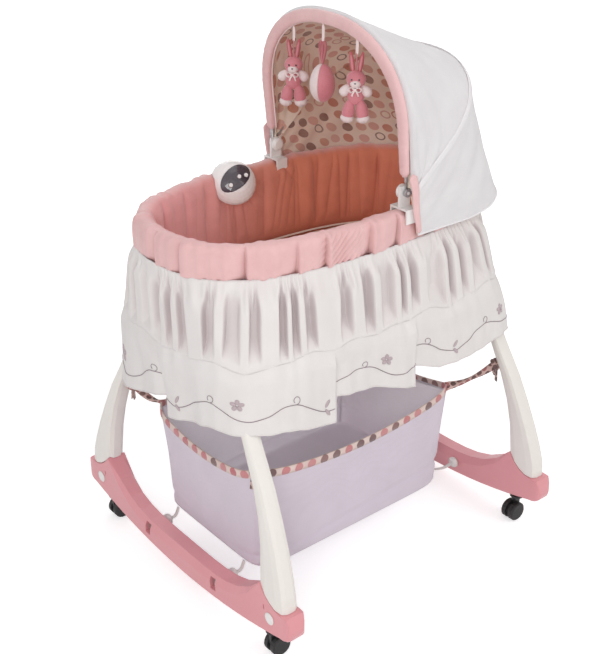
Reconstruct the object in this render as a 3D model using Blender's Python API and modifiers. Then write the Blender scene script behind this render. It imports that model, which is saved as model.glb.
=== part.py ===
"""Baby cradle on two rocker feet with casters: a padded oval tub with a gathered skirt, a folding
hood with hanging toys, a clip-on music unit and a cloth basket slung between the legs.
Lengths are in metres. +X runs to the head end, where the hood is, +Z is up, the floor is at zero."""

import math

import bmesh
import bpy
from mathutils import Matrix, Vector

# Fits
GAP = 0.0004
RUNNING_GAP = 0.0006
SOFT_GAP = 0.0012
OVERRUN = 0.012

# Rockers
END_X = 0.3675
ROCKER_THICKNESS = 0.045
ROCKER_RADIUS = 1.35
ROCKER_LOW = 0.034
ROCKER_TIP_REACH = 0.380
ROCKER_TIP_LOW = 0.101
ROCKER_TIP_TOP = 0.112
ROCKER_BAND_TOP = 0.101
LOBE_REACH = 0.283
LOBE_TOP = 0.180
LOBE_POWER = 4.0
SEAT_LOW = 0.141
SEAT_LOW_REACH = 0.348
ROCKER_EDGE = 0.004
ROCKER_CROWN = 0.024
ROCKER_CROWN_POWER = 6
ROCKER_CROWN_TURNS = (0, 48, 132, 180)
ROCKER_TIP_SHARES = ((0.35, 0.0, 1.0), (0.65, 0.0, 0.95), (0.85, 0.5, 0.84), (1.0, 1.0, 0.6))

# Pocket and cap in the rocker's outer face
POCKET_REACH = 0.124
POCKET_Z = 0.074
POCKET_WIDTH = 0.018
POCKET_HEIGHT = 0.028
POCKET_DEPTH = 0.014
CAP_FROM_TIP = 0.062
CAP_REACH = ROCKER_TIP_REACH - CAP_FROM_TIP
CAP_Z = 0.112
CAP_RADIUS = 0.0135
CAP_PROUD = 0.003
CAP_SHANK_RADIUS = 0.008
CAP_SHANK_DEPTH = 0.010
SLIT_WIDTH = 0.003
SLIT_HEIGHT = 0.011
SLIT_DEPTH = 0.004
SLIT_FROM_TIP = 0.081
SLIT_REACH = ROCKER_TIP_REACH - SLIT_FROM_TIP
SLIT_Z = 0.130

# Legs
LEG_TOP = 0.595
LEG_FOOT_SINK = 0.009
LEG_FOOT = SEAT_LOW - LEG_FOOT_SINK
LEG_FOOT_THICKNESS = 0.0445
LEG_TOP_THICKNESS = 0.032
LEG_LEAN = 0.030
LEG_STRAIGHT_SHARE = 0.1
LEG_FOOT_OUTSIDE = 0.012
LEG_FOOT_INSIDE = 0.066
LEG_EXPONENT = 4.0
LEG_HEIGHT_SHARES = (0.0, 0.09, 0.17, 0.27, 0.39, 0.52, 0.64, 0.75, 0.87, 1.0)
LEG_OUTER_SHARES = (1.0, 0.987, 0.957, 0.91, 0.843, 0.764, 0.672, 0.59, 0.523, 0.465)
LEG_INNER_SHARES = (1.0, 0.989, 0.979, 0.968, 0.929, 0.858, 0.762, 0.674, 0.585, 0.489)

# Casters
CASTER_FROM_TIP = 0.079
CASTER_REACH = ROCKER_TIP_REACH - CASTER_FROM_TIP
WHEEL_RADIUS = 0.023
WHEEL_WIDTH = 0.013
WHEEL_EDGE = 0.003
HUB_WIDTH = 0.008
HUB_RADIUS = 0.017
AXLE_RADIUS = 0.004
CASTER_TRAIL = 0.010
CASTER_PLATE_RADIUS = 0.016
CASTER_PLATE_THICKNESS = 0.005
CASTER_PLATE_CLEARANCE = 0.0016
STEM_RADIUS = 0.005
STEM_LENGTH = 0.034

# Rim, tub and mattress, as ovals about the rail's centre line
TUB_CENTRE_X = -0.022
RAIL_HALF_LENGTH = 0.364
RAIL_HALF_WIDTH = 0.202
RIM_EXPONENT = 2.67
RAIL_RADIUS = 0.0075
RAIL_ABOVE_LEGS = 0.203
RAIL_Z = LEG_TOP + RAIL_ABOVE_LEGS
PAD_HALF_WIDTH = 0.0185
PAD_WALL = 0.0065
PAD_TOP_RISE = 0.0225
PAD_OUTER_LIP_DROP = 0.036
PAD_INNER_LIP_DROP = 0.023
TUB_WALL_THICKNESS = 0.004
TUB_TAPER = 0.016
MATTRESS_THICKNESS = 0.0542
MATTRESS_CROWN = 0.006
MATTRESS_PINCH = 0.005
MATTRESS_EDGE_SHARES = ((2.0, 0.0), (0.6, 0.12), (0.0, 0.3), (0.5, 0.5), (0.0, 0.7), (0.6, 0.9), (2.0, 1.0))
MATTRESS_CROWN_SHARES = (0.75, 0.4)
BOARD_THICKNESS = 0.008
FRAME_TUBE_RADIUS = 0.009
FRAME_CORNER_RADIUS = 0.035
FRAME_PAST_LEG = 0.0258
FRAME_DROP = 0.003

# Skirt
SKIRT_BELOW_LEG_TOP = 0.157
SKIRT_HEM_Z = LEG_TOP - SKIRT_BELOW_LEG_TOP
SKIRT_LIFT = 0.056
SKIRT_HALF_LENGTH = 0.398
SKIRT_HALF_WIDTH = 0.238
SKIRT_EXPONENT = 6.0
SKIRT_THICKNESS = 0.003
SKIRT_FOLDS = 20
SKIRT_FOLD_DEPTH = 0.013
SKIRT_FLARE_POWER = 0.62
SKIRT_CORNER_POWER = 10
SKIRT_TOP_FOLD_SHARE = 0.25
SKIRT_FOLD_START_SHARE = 1 / 6
SKIRT_ROW_SHARES = (0.0, 0.12, 0.3, 0.6, 1.0)

# Hood
HINGE_X = 0.044
HINGE_RISE = 0.064
HINGE_Z = RAIL_Z + HINGE_RISE
HOOD_TILT = math.radians(6)
REAR_BOW_ANGLE = math.radians(41)
BOW_TUBE_RADIUS = 0.004
BOW_STRAIGHT = 0.118
BOW_RISE = 0.191
BOW_EXPONENT = 2.3
REAR_BOW_RISE = 0.216
REAR_BOW_STRAIGHT = 0.105
BINDING_WIDTH = 0.026
BINDING_FRONT = 0.011
BINDING_BACK = 0.006
BINDING_START = 0.034
COVER_THICKNESS = 0.003
HOOD_PAST_BOW = 0.019
HOOD_HEM_DROP = 0.022
HOOD_HEM_Z = RAIL_Z - HOOD_HEM_DROP
HOOD_HEAD_PAST_RAIL = 0.066
HOOD_HEAD_X = TUB_CENTRE_X + RAIL_HALF_LENGTH + HOOD_HEAD_PAST_RAIL
HOOD_HEAD_DROP = 0.006
HOOD_HEAD_Z = RAIL_Z - HOOD_HEAD_DROP
HOOD_MID_BEFORE_HEAD = 0.042
HOOD_MID_X = HOOD_HEAD_X - HOOD_MID_BEFORE_HEAD
HOOD_MID_RISE = 0.090
HOOD_MID_Z = RAIL_Z + HOOD_MID_RISE
HOOD_REAR_FOOT_REACH = 0.076
HOOD_REAR_FOOT_X = HINGE_X + HOOD_REAR_FOOT_REACH
HOOD_MID_FOOT_REACH = 0.146
HOOD_MID_FOOT_X = HINGE_X + HOOD_MID_FOOT_REACH
HOOD_CORNER_REACH = 0.161
HOOD_CORNER_X = HINGE_X + HOOD_CORNER_REACH
HOOD_FRONT_STRAIGHT_SHARE = 0.48
HOOD_REAR_STRAIGHT_SHARE = 0.34
HOOD_MID_STRAIGHT_SHARE = 0.12
HOOD_ROWS = (5, 3, 3)

# Hood clamps and their pivot pins
CLAMP_LENGTH = 0.028
CLAMP_WALL = 0.004
CLAMP_POST_THICKNESS = 0.006
CLAMP_JAW_DROP = 0.026
CLAMP_CREST = 0.014
PIVOT_HEAD_RADIUS = 0.0145
PIVOT_HEAD_THICKNESS = 0.011
PIVOT_SHANK_RADIUS = 0.0035
EYE_RADIUS = 0.0085
EYE_THICKNESS = 0.0036
TANG_WIDTH = 0.006
BOW_START = 0.0225

# Music unit
MUSIC_X = -0.092
MUSIC_INSET = 0.025
MUSIC_Y = RAIL_HALF_WIDTH - MUSIC_INSET
MUSIC_RISE = 0.010
MUSIC_Z = RAIL_Z + MUSIC_RISE
MUSIC_RADIUS = 0.050
MUSIC_DEPTH = 0.037
MUSIC_TURN = math.radians(21)
MUSIC_LIFT = math.radians(38)
MUSIC_HOOK_LENGTH = 0.026
PANEL_HALF_LENGTH = 0.039
PANEL_HALF_WIDTH = 0.023
PANEL_THICKNESS = 0.003
PANEL_ROLL = math.radians(35)
BUTTON_RADIUS = 0.0042
BUTTON_LENGTH = 0.007
BUTTON_PROUD = 0.0022
BUTTON_TRAVEL = 0.0015
BUTTON_SHARES = ((-0.55, -0.22), (0.12, -0.16), (0.50, -0.46))

# Basket
BASKET_FOOT_CLEARANCE = 0.023
BASKET_HEAD_CLEARANCE = 0.091
BASKET_CENTRE_X = (BASKET_FOOT_CLEARANCE - BASKET_HEAD_CLEARANCE) / 2
BASKET_HALF_LENGTH = END_X - (ROCKER_THICKNESS + BASKET_FOOT_CLEARANCE + BASKET_HEAD_CLEARANCE) / 2
BASKET_HALF_WIDTH = 0.186
BASKET_END_SLOPE = 0.018
BASKET_SIDE_SLOPE = 0.010
BASKET_FLOOR_HALF_LENGTH = BASKET_HALF_LENGTH - BASKET_END_SLOPE
BASKET_FLOOR_HALF_WIDTH = BASKET_HALF_WIDTH - BASKET_SIDE_SLOPE
BASKET_FLOOR_Z = 0.092
BASKET_TOP_Z = 0.350
BASKET_SAG = 0.034
BASKET_EXPONENT = 10.0
BASKET_THICKNESS = 0.003
BASKET_ROW_SHARES = (0.06, 0.5, 1.0)
TIE_WIDTH = 0.022
TIE_THICKNESS = 0.003
TIE_DIP = 0.010
TIE_LEG_Z = 0.392
TIE_NARROWING_SHARE = 0.4
TIE_TURN = math.radians(45)
STRAP_RADIUS = 0.0085
STRAP_KNOT_WIDTH = 0.022
STRAP_SHANK_RADIUS = 0.004
TOGGLE_THICKNESS = 0.006

# Hanging toys, measured down from the hood's binding
TOY_REACHES = {"left": 0.104, "middle": 0.011, "right": -0.087}
RIBBON_RADIUS = 0.0018
RIBBON_TIP_RADIUS = 0.0004
EAR_TOP_DROP = 0.030
EAR_LENGTH = 0.034
EAR_RADIUS = 0.0055
EAR_SPREAD = 0.008
EAR_LEAN = math.radians(8)
HEAD_DROP = 0.079
HEAD_RADIUS = 0.0175
BODY_DROP = 0.110
BODY_RADIUS = 0.015
BODY_HEIGHT = 0.040
BODY_NARROWING = 0.18
ARM_DROP = 0.101
ARM_REACH = 0.019
ARM_RADIUS = 0.0065
ARM_LENGTH = 0.028
ARM_SPLAY = math.radians(38)
SHIN_DROP = 0.143
SHIN_REACH = 0.009
SHIN_RADIUS = 0.0072
SHIN_LENGTH = 0.042
SHIN_SPLAY = math.radians(9)
LIMB_NARROWING = 0.22
EGG_TOP_DROP = 0.078
EGG_HEIGHT = 0.071
EGG_RADIUS = 0.0245
EGG_NARROWING = 0.16

# Facets
OVAL_STEPS = 40
ROUND_STEPS = 16
SMALL_STEPS = 12
ARCH_STEPS = 16
ROCKER_STEPS = 7
SEAT_STEPS = 4
WHEEL_STEPS = 18
DOME_STEPS = 24
MATTRESS_STEPS = 32
CORNER_STEPS = 4
TIE_STEPS = 5

PINK = (0.64, 0.27, 0.30)
IVORY = (0.80, 0.77, 0.71)
WHITE = (0.86, 0.85, 0.85)
BLACK = (0.02, 0.02, 0.02)
STEEL = (0.55, 0.55, 0.56)
ROSE = (0.60, 0.28, 0.26)
PALE_PINK = (0.80, 0.56, 0.57)
CHARCOAL = (0.09, 0.07, 0.09)
LILAC = (0.72, 0.66, 0.72)
CREAM = (0.74, 0.62, 0.52)
BROWN = (0.30, 0.15, 0.13)

SIDES = {"left": 1, "right": -1}
ENDS = {"head": 1, "foot": -1}

parts = None
cutters = None


def clear_scene():
    for old in list(bpy.data.objects):
        bpy.data.objects.remove(old, do_unlink=True)


def new_collection(name):
    made = bpy.data.collections.new(name)
    bpy.context.scene.collection.children.link(made)
    return made


def finish(name, colour, roughness=0.5, metallic=0.0):
    made = bpy.data.materials.new(name)
    made.use_nodes = True
    shader = made.node_tree.nodes["Principled BSDF"]
    shader.inputs["Base Color"].default_value = (*colour, 1.0)
    shader.inputs["Roughness"].default_value = roughness
    shader.inputs["Metallic"].default_value = metallic
    return made


def keep(obj, colour=None, roughness=0.5, metallic=0.0, smooth=True, pivot=None):
    """Files an object among the parts, with its own material and its origin on its joint."""
    for home in list(obj.users_collection):
        home.objects.unlink(obj)
    parts.objects.link(obj)
    obj.data.materials.clear()
    obj.data.materials.append(finish(obj.name + "_finish", colour, roughness, metallic))
    if smooth:
        obj.data.shade_smooth()
        obj.data.set_sharp_from_angle(angle=math.radians(40))
    if pivot is not None:
        obj.data.transform(Matrix.Translation(-pivot) @ obj.matrix_world)
        obj.matrix_world = Matrix.Translation(pivot)
    return obj


def cutter(obj):
    for home in list(obj.users_collection):
        home.objects.unlink(obj)
    cutters.objects.link(obj)
    obj.hide_render = True
    obj.display_type = "WIRE"
    return obj


def link_mesh(name, bm):
    mesh = bpy.data.meshes.new(name)
    bm.to_mesh(mesh)
    bm.free()
    obj = bpy.data.objects.new(name, mesh)
    bpy.context.scene.collection.objects.link(obj)
    return obj


def box(name, low, high):
    bm = bmesh.new()
    bmesh.ops.create_cube(bm, size=1.0)
    low, high = Vector(low), Vector(high)
    for vert in bm.verts:
        vert.co = Vector((low[i] + (high[i] - low[i]) * (vert.co[i] + 0.5)) for i in range(3))
    return link_mesh(name, bm)


def cylinder(name, start, end, radius, end_radius=None, steps=ROUND_STEPS):
    """A cylinder or cone between two points."""
    start, end = Vector(start), Vector(end)
    along = end - start
    bm = bmesh.new()
    tip = radius if end_radius is None else end_radius
    bmesh.ops.create_cone(
        bm, cap_ends=True, segments=steps, radius1=radius, radius2=tip, depth=along.length
    )
    turn = Vector((0, 0, 1)).rotation_difference(along).to_matrix().to_4x4()
    bmesh.ops.transform(bm, matrix=Matrix.Translation((start + end) / 2) @ turn, verts=bm.verts)
    return link_mesh(name, bm)


def ball(name, centre, radii, turn=None, across=12, along=8, shape=None):
    """An ellipsoid about a centre, which a function of the height share may swell or taper."""
    bm = bmesh.new()
    bmesh.ops.create_uvsphere(bm, u_segments=across, v_segments=along, radius=1.0)
    for vert in bm.verts:
        swell = shape(vert.co.z) if shape else 1.0
        vert.co = Vector((vert.co.x * radii[0] * swell, vert.co.y * radii[1] * swell, vert.co.z * radii[2]))
    place = Matrix.Translation(Vector(centre)) @ (turn.to_4x4() if turn else Matrix())
    bmesh.ops.transform(bm, matrix=place, verts=bm.verts)
    return link_mesh(name, bm)


def turned(name, profile, steps, place):
    """A turned piece: (radius, height) pairs from the top of the axis down the outer side to its foot."""
    bm = bmesh.new()
    verts = [bm.verts.new((radius, 0, height)) for radius, height in profile]
    for first, second in zip(verts, verts[1:]):
        bm.edges.new((first, second))
    obj = link_mesh(name, bm)
    screw = obj.modifiers.new("Turn", "SCREW")
    screw.steps = steps
    screw.render_steps = steps
    screw.use_merge_vertices = True
    screw.merge_threshold = 0.00001
    return baked(obj, place)


def baked(obj, place=None):
    """The object with its modifiers applied and its place moved into its mesh."""
    graph = bpy.context.evaluated_depsgraph_get()
    graph.update()
    mesh = bpy.data.meshes.new_from_object(obj.evaluated_get(graph))
    mesh.transform((place or Matrix()) @ obj.matrix_world)
    bm = bmesh.new()
    bm.from_mesh(mesh)
    bmesh.ops.remove_doubles(bm, verts=bm.verts, dist=GAP / 20)
    bmesh.ops.recalc_face_normals(bm, faces=bm.faces)
    bm.to_mesh(mesh)
    bm.free()
    name = obj.name
    bpy.data.objects.remove(obj, do_unlink=True)
    made = bpy.data.objects.new(name, mesh)
    bpy.context.scene.collection.objects.link(made)
    return made


def combine(obj, other, operation):
    change = obj.modifiers.new(operation.title(), "BOOLEAN")
    change.operation = operation
    change.object = other
    cutter(other)
    return obj


def cut(obj, other):
    return combine(obj, other, "DIFFERENCE")


def fuse(obj, other):
    return combine(obj, other, "UNION")


def loft(name, rings, loop=False):
    """A skin over rings of points: capped at its ends, or joined end to end as a loop."""
    bm = bmesh.new()
    rows = [[bm.verts.new(point) for point in ring] for ring in rings]
    pairs = list(zip(rows, rows[1:]))
    if loop:
        pairs.append((rows[-1], rows[0]))
    else:
        bm.faces.new(rows[0])
        bm.faces.new(rows[-1])
    for first, second in pairs:
        count = len(first)
        for i in range(count):
            j = (i + 1) % count
            bm.faces.new((first[i], first[j], second[j], second[i]))
    bmesh.ops.recalc_face_normals(bm, faces=bm.faces)
    return link_mesh(name, bm)


def sheet(name, rows, thickness, closed_rows=True, floor=False):
    """A cloth or board of even thickness over rows of points, which may close round and have a floor."""
    bm = bmesh.new()
    grid = [[bm.verts.new(point) for point in row] for row in rows]
    for first, second in zip(grid, grid[1:]):
        count = len(first)
        for i in range(count if closed_rows else count - 1):
            j = (i + 1) % count
            bm.faces.new((first[i], first[j], second[j], second[i]))
    if floor:
        bm.faces.new(grid[0])
    bmesh.ops.recalc_face_normals(bm, faces=bm.faces)
    obj = link_mesh(name, bm)
    solid = obj.modifiers.new("Thickness", "SOLIDIFY")
    solid.thickness = thickness
    solid.offset = 0.0
    return obj


def outline_plate(name, outline, thickness, place):
    """A flat outline as a filled 2D curve, given its thickness and stood in its place as a mesh."""
    curve = bpy.data.curves.new(name, "CURVE")
    curve.dimensions = "2D"
    curve.fill_mode = "BOTH"
    curve.extrude = thickness / 2
    spline = curve.splines.new("POLY")
    spline.points.add(len(outline) - 1)
    for point, (across, up) in zip(spline.points, outline):
        point.co = (across, up, 0, 1)
    spline.use_cyclic_u = True
    obj = bpy.data.objects.new(name, curve)
    bpy.context.scene.collection.objects.link(obj)
    return baked(obj, place)


def tube(name, points, radius, closed=False):
    curve = bpy.data.curves.new(name, "CURVE")
    curve.dimensions = "3D"
    curve.bevel_depth = radius
    curve.bevel_resolution = 2
    curve.use_fill_caps = True
    spline = curve.splines.new("POLY")
    spline.points.add(len(points) - 1)
    for point, place in zip(spline.points, points):
        point.co = (*place, 1)
    spline.use_cyclic_u = closed
    obj = bpy.data.objects.new(name, curve)
    bpy.context.scene.collection.objects.link(obj)
    return baked(obj)


def stand_in_yz(x):
    """Takes a flat outline's across and up to world Y and Z, at this X."""
    return Matrix(((0, 0, 1, x), (1, 0, 0, 0), (0, 1, 0, 0), (0, 0, 0, 1)))


def oval(half_length, half_width, exponent, centre_x, turn):
    """A point of a superellipse, its turn measured as on a plain ellipse."""
    across, along = math.sin(turn), math.cos(turn)
    size = (abs(along) ** exponent + abs(across) ** exponent) ** (-1 / exponent)
    return Vector((centre_x + half_length * along * size, half_width * across * size))


def rim_point(turn, offset=0.0):
    """A point beside the rail's centre line, outward by the offset."""
    here = oval(RAIL_HALF_LENGTH, RAIL_HALF_WIDTH, RIM_EXPONENT, TUB_CENTRE_X, turn)
    step = math.pi / 180
    after = oval(RAIL_HALF_LENGTH, RAIL_HALF_WIDTH, RIM_EXPONENT, TUB_CENTRE_X, turn + step)
    before = oval(RAIL_HALF_LENGTH, RAIL_HALF_WIDTH, RIM_EXPONENT, TUB_CENTRE_X, turn - step)
    along = (after - before).normalized()
    return here + Vector((along.y, -along.x)) * offset


def turns(steps=OVAL_STEPS):
    return [2 * math.pi * i / steps for i in range(steps)]


def arch(half_width, straight, rise, exponent, start, steps=ARCH_STEPS):
    """(across, up) points over an arch: straight sides from the start, then a rounded top."""
    curve = []
    for i in range(steps + 1):
        turn = math.pi * i / steps
        across = abs(math.cos(turn)) ** (2 / exponent) * math.copysign(1, math.cos(turn))
        curve.append((half_width * across, straight + rise * abs(math.sin(turn)) ** (2 / exponent)))
    return [(half_width, start)] + curve + [(-half_width, start)]


def on_hood_plane(angle, across, up, forward=0.0):
    """A point of a plane through the hood's hinge, at this angle above +X."""
    rise = Vector((math.cos(angle), 0, math.sin(angle)))
    normal = Vector((-math.sin(angle), 0, math.cos(angle)))
    return Vector((HINGE_X, across, HINGE_Z)) + rise * up + normal * forward


# Rockers


def rocker_bottom(reach):
    return ROCKER_LOW + ROCKER_RADIUS - math.sqrt(ROCKER_RADIUS**2 - reach**2)


def rocker_top(reach):
    return ROCKER_BAND_TOP + (LOBE_TOP - ROCKER_BAND_TOP) * (abs(reach) / LOBE_REACH) ** LOBE_POWER


def rocker_crown(reach):
    """How far the band's rounded top falls to its sides; it flattens out towards the leg."""
    share = min(1.0, abs(reach) / LOBE_REACH)
    return ROCKER_CROWN * (1 - share**ROCKER_CROWN_POWER)


def rocker_ring(reach, low, top, crown, width_share):
    """A cross-section (across, reach, z): flat below, with upright sides and a rounded top."""
    half = ROCKER_THICKNESS / 2 * width_share
    ring = [(half - ROCKER_EDGE, reach, low), (half, reach, low + ROCKER_EDGE)]
    shoulder = top - ROCKER_EDGE / 2 - crown
    for degrees in ROCKER_CROWN_TURNS:
        turn = math.radians(degrees)
        ring.append((half * math.cos(turn), reach, shoulder + (top - shoulder) * math.sin(turn)))
    return ring + [(-half, reach, low + ROCKER_EDGE), (ROCKER_EDGE - half, reach, low)]


def seat_end():
    """The reach of the seat's outer end, just outside the leg's foot."""
    flat = max(share for share, fall, width in ROCKER_TIP_SHARES if fall == 0.0)
    return SEAT_LOW_REACH + (ROCKER_TIP_REACH - SEAT_LOW_REACH) * flat


def rocker_rings():
    """The rocker's cross-sections from its middle out to one tip."""
    reaches = [LOBE_REACH * i / ROCKER_STEPS for i in range(ROCKER_STEPS)]
    rings = [
        rocker_ring(reach, rocker_bottom(reach), rocker_top(reach), rocker_crown(reach), 1.0)
        for reach in reaches
    ]
    rings += [
        rocker_ring(reach, rocker_bottom(reach), top, rocker_crown(reach), 1.0)
        for reach, top in reversed(seat_curve()[1:])
    ]
    low = rocker_bottom(SEAT_LOW_REACH)
    for share, fall, width in ROCKER_TIP_SHARES:
        reach = SEAT_LOW_REACH + (ROCKER_TIP_REACH - SEAT_LOW_REACH) * share
        bottom = low + (ROCKER_TIP_LOW - low) * (1 - math.sqrt(1 - share**2))
        top = SEAT_LOW + (ROCKER_TIP_TOP - SEAT_LOW) * fall
        rings.append(rocker_ring(reach, bottom, top, 0.0, width))
    return rings


def seat_curve(rise=0.0):
    """The seat that a leg's foot stands on: level from its outer end, then up to its lobe."""
    curve = [(seat_end(), SEAT_LOW + rise)]
    for i in range(SEAT_STEPS + 1):
        lift = i / SEAT_STEPS
        reach = SEAT_LOW_REACH + (LOBE_REACH - SEAT_LOW_REACH) * lift
        curve.append((reach, SEAT_LOW + (LOBE_TOP - SEAT_LOW) * lift**2 + rise))
    return curve


def band_curve(rise=0.0):
    """The rocker's upper edge from inside its lobe to its middle."""
    reaches = [LOBE_REACH * (1 - i / ROCKER_STEPS) for i in range(1, ROCKER_STEPS + 1)]
    return [(reach, rocker_top(reach) + rise) for reach in reaches]


def make_rocker(end, way):
    name = f"rocker_{end}_end"
    outer = way * (END_X + ROCKER_THICKNESS / 2)
    inner = way * (END_X - ROCKER_THICKNESS / 2)
    half = rocker_rings()
    mirrored = [[(across, -reach, z) for across, reach, z in ring] for ring in reversed(half[1:])]
    rocker = loft(name, [
        [Vector((way * END_X + across, reach, z)) for across, reach, z in ring] for ring in mirrored + half
    ])
    for side, hand in SIDES.items():
        label = f"{end}_{side}"
        pocket = box(
            f"cut_pocket_{label}",
            (-POCKET_DEPTH, -POCKET_WIDTH / 2, -POCKET_HEIGHT / 2),
            (OVERRUN, POCKET_WIDTH / 2, POCKET_HEIGHT / 2),
        )
        lean = Matrix.Rotation(hand * math.asin(POCKET_REACH / ROCKER_RADIUS), 4, "X")
        flip = Matrix.Diagonal((way, 1, 1, 1))
        place = Matrix.Translation((outer, hand * POCKET_REACH, POCKET_Z)) @ flip @ lean
        cut(rocker, baked(pocket, place))
        cut(rocker, cylinder(
            f"cut_shank_{label}",
            (outer, hand * POCKET_REACH, POCKET_Z),
            (inner - way * OVERRUN, hand * POCKET_REACH, POCKET_Z),
            STRAP_SHANK_RADIUS + RUNNING_GAP, steps=SMALL_STEPS,
        ))
        cut(rocker, cylinder(
            f"cut_cap_{label}",
            (outer - way * CAP_SHANK_DEPTH, hand * CAP_REACH, CAP_Z),
            (outer + way * OVERRUN, hand * CAP_REACH, CAP_Z),
            CAP_SHANK_RADIUS + GAP,
        ))
        cut(rocker, box(
            f"cut_slit_{label}",
            sorted_low((outer - way * SLIT_DEPTH, outer + way * OVERRUN), hand * SLIT_REACH - SLIT_WIDTH / 2,
                       SLIT_Z - SLIT_HEIGHT / 2),
            sorted_high((outer - way * SLIT_DEPTH, outer + way * OVERRUN), hand * SLIT_REACH + SLIT_WIDTH / 2,
                        SLIT_Z + SLIT_HEIGHT / 2),
        ))
        cut(rocker, cylinder(
            f"cut_stem_{label}",
            (way * END_X, hand * CASTER_REACH, 0),
            (way * END_X, hand * CASTER_REACH, caster_plate_top() + STEM_LENGTH + RUNNING_GAP),
            STEM_RADIUS + RUNNING_GAP, steps=SMALL_STEPS,
        ))
    return keep(rocker, PINK, 0.4)


def sorted_low(ends, across, up):
    return (min(ends), across, up)


def sorted_high(ends, across, up):
    return (max(ends), across, up)


def make_cap(end, way, side, hand):
    face = way * (END_X + ROCKER_THICKNESS / 2)
    along = Vector((way, 0, 0))
    centre = Vector((face, hand * CAP_REACH, CAP_Z))
    profile = (
        (0.0, CAP_PROUD),
        (CAP_RADIUS * 0.8, CAP_PROUD * 0.85),
        (CAP_RADIUS, CAP_PROUD * 0.4),
        (CAP_RADIUS, GAP),
        (CAP_SHANK_RADIUS, GAP),
        (CAP_SHANK_RADIUS, GAP - CAP_SHANK_DEPTH + GAP),
        (0.0, GAP - CAP_SHANK_DEPTH + GAP),
    )
    turn = Vector((0, 0, 1)).rotation_difference(along).to_matrix().to_4x4()
    cap = turned(f"rocker_cap_{end}_{side}", profile, ROUND_STEPS, Matrix.Translation(centre) @ turn)
    return keep(cap, WHITE, 0.4)


# Legs


def leg_middle_x(height):
    """The leg's middle leans in over its upper part, by its share of the height."""
    return END_X - LEG_LEAN * max(0.0, height - LEG_STRAIGHT_SHARE) / (1 - LEG_STRAIGHT_SHARE)


def leg_half_thickness(height):
    return (LEG_FOOT_THICKNESS + (LEG_TOP_THICKNESS - LEG_FOOT_THICKNESS) * height) / 2


def leg_outer(share):
    """The reach of the leg's outer edge, at this share of its reach at the foot."""
    return (SEAT_LOW_REACH + LEG_FOOT_OUTSIDE) * share


def leg_inner(share):
    return (SEAT_LOW_REACH - LEG_FOOT_INSIDE) * share


def leg_sections(way, hand, grow=0.0):
    rings = []
    for height, outer, inner in zip(LEG_HEIGHT_SHARES, LEG_OUTER_SHARES, LEG_INNER_SHARES):
        z = LEG_FOOT + (LEG_TOP - LEG_FOOT) * height
        reach = (leg_outer(outer) + leg_inner(inner)) / 2
        half_width = (leg_outer(outer) - leg_inner(inner)) / 2 + grow
        half_thickness = leg_half_thickness(height) + grow
        x = leg_middle_x(height)
        ring = []
        for turn in turns(ROUND_STEPS):
            point = oval(half_thickness, half_width, LEG_EXPONENT, 0.0, turn)
            ring.append(Vector((way * x + point.x, hand * (reach + point.y), z)))
        rings.append(ring)
    return rings


def make_leg(end, way, side, hand):
    leg = loft(f"leg_{end}_{side}", leg_sections(way, hand))
    seat = seat_curve(GAP)
    outside = max(ROCKER_TIP_REACH, leg_outer(1.0)) + OVERRUN
    deep = [(outside, seat[0][1])] + seat + band_curve(GAP) + [(0.0, 0.0), (outside, 0.0)]
    outline = [(hand * reach, up) for reach, up in deep]
    cut(leg, outline_plate(
        f"cut_seat_{end}_{side}", outline, ROCKER_THICKNESS + 2 * OVERRUN, stand_in_yz(way * END_X)
    ))
    return keep(leg, IVORY, 0.4)


# Casters


def caster_centre(way, hand):
    return Vector((way * END_X, hand * CASTER_REACH, WHEEL_RADIUS))


def caster_plate_top():
    """The plate turns just under the rocker, where its inner edge comes nearest."""
    return rocker_bottom(CASTER_REACH - CASTER_PLATE_RADIUS) - CASTER_PLATE_CLEARANCE


def make_caster(end, way, side, hand):
    stem = caster_centre(way, hand)
    hub = stem - Vector((way * CASTER_TRAIL, 0, 0))
    label = f"{end}_{side}"
    across = Vector((0, HUB_WIDTH / 2, 0))
    body = cylinder(f"caster_body_{label}", hub - across, hub + across, HUB_RADIUS)
    post_low = Vector((stem.x, stem.y, hub.z + HUB_RADIUS / 3))
    plate_low = Vector((stem.x, stem.y, caster_plate_top() - CASTER_PLATE_THICKNESS))
    plate_high = Vector((stem.x, stem.y, caster_plate_top()))
    fuse(body, box(
        f"neck_{label}",
        (stem.x - HUB_RADIUS / 2, stem.y - HUB_WIDTH / 2, post_low.z),
        (stem.x + HUB_RADIUS / 2, stem.y + HUB_WIDTH / 2, plate_low.z + CASTER_PLATE_THICKNESS / 2),
    ))
    fuse(body, cylinder(f"plate_{label}", plate_low, plate_high, CASTER_PLATE_RADIUS))
    stem_top = plate_high + Vector((0, 0, STEM_LENGTH))
    fuse(body, cylinder(f"stem_{label}", plate_low, stem_top, STEM_RADIUS, steps=SMALL_STEPS))
    reach = Vector((0, HUB_WIDTH + OVERRUN, 0))
    cut(body, cylinder(f"cut_axle_{label}", hub - reach, hub + reach, AXLE_RADIUS + RUNNING_GAP))
    keep(body, BLACK, 0.5, pivot=stem)
    inner = HUB_WIDTH / 2 + RUNNING_GAP
    outer = inner + WHEEL_WIDTH
    profile = (
        (0.0, outer),
        (WHEEL_RADIUS - WHEEL_EDGE, outer),
        (WHEEL_RADIUS, outer - WHEEL_EDGE),
        (WHEEL_RADIUS, inner),
        (AXLE_RADIUS, inner),
        (AXLE_RADIUS, -inner),
        (WHEEL_RADIUS, -inner),
        (WHEEL_RADIUS, WHEEL_EDGE - outer),
        (WHEEL_RADIUS - WHEEL_EDGE, -outer),
        (0.0, -outer),
    )
    turn = Matrix.Rotation(math.pi / 2, 4, "X")
    wheels = turned(f"caster_wheels_{label}", profile, WHEEL_STEPS, Matrix.Translation(hub) @ turn)
    keep(wheels, BLACK, 0.6, pivot=hub)


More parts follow.
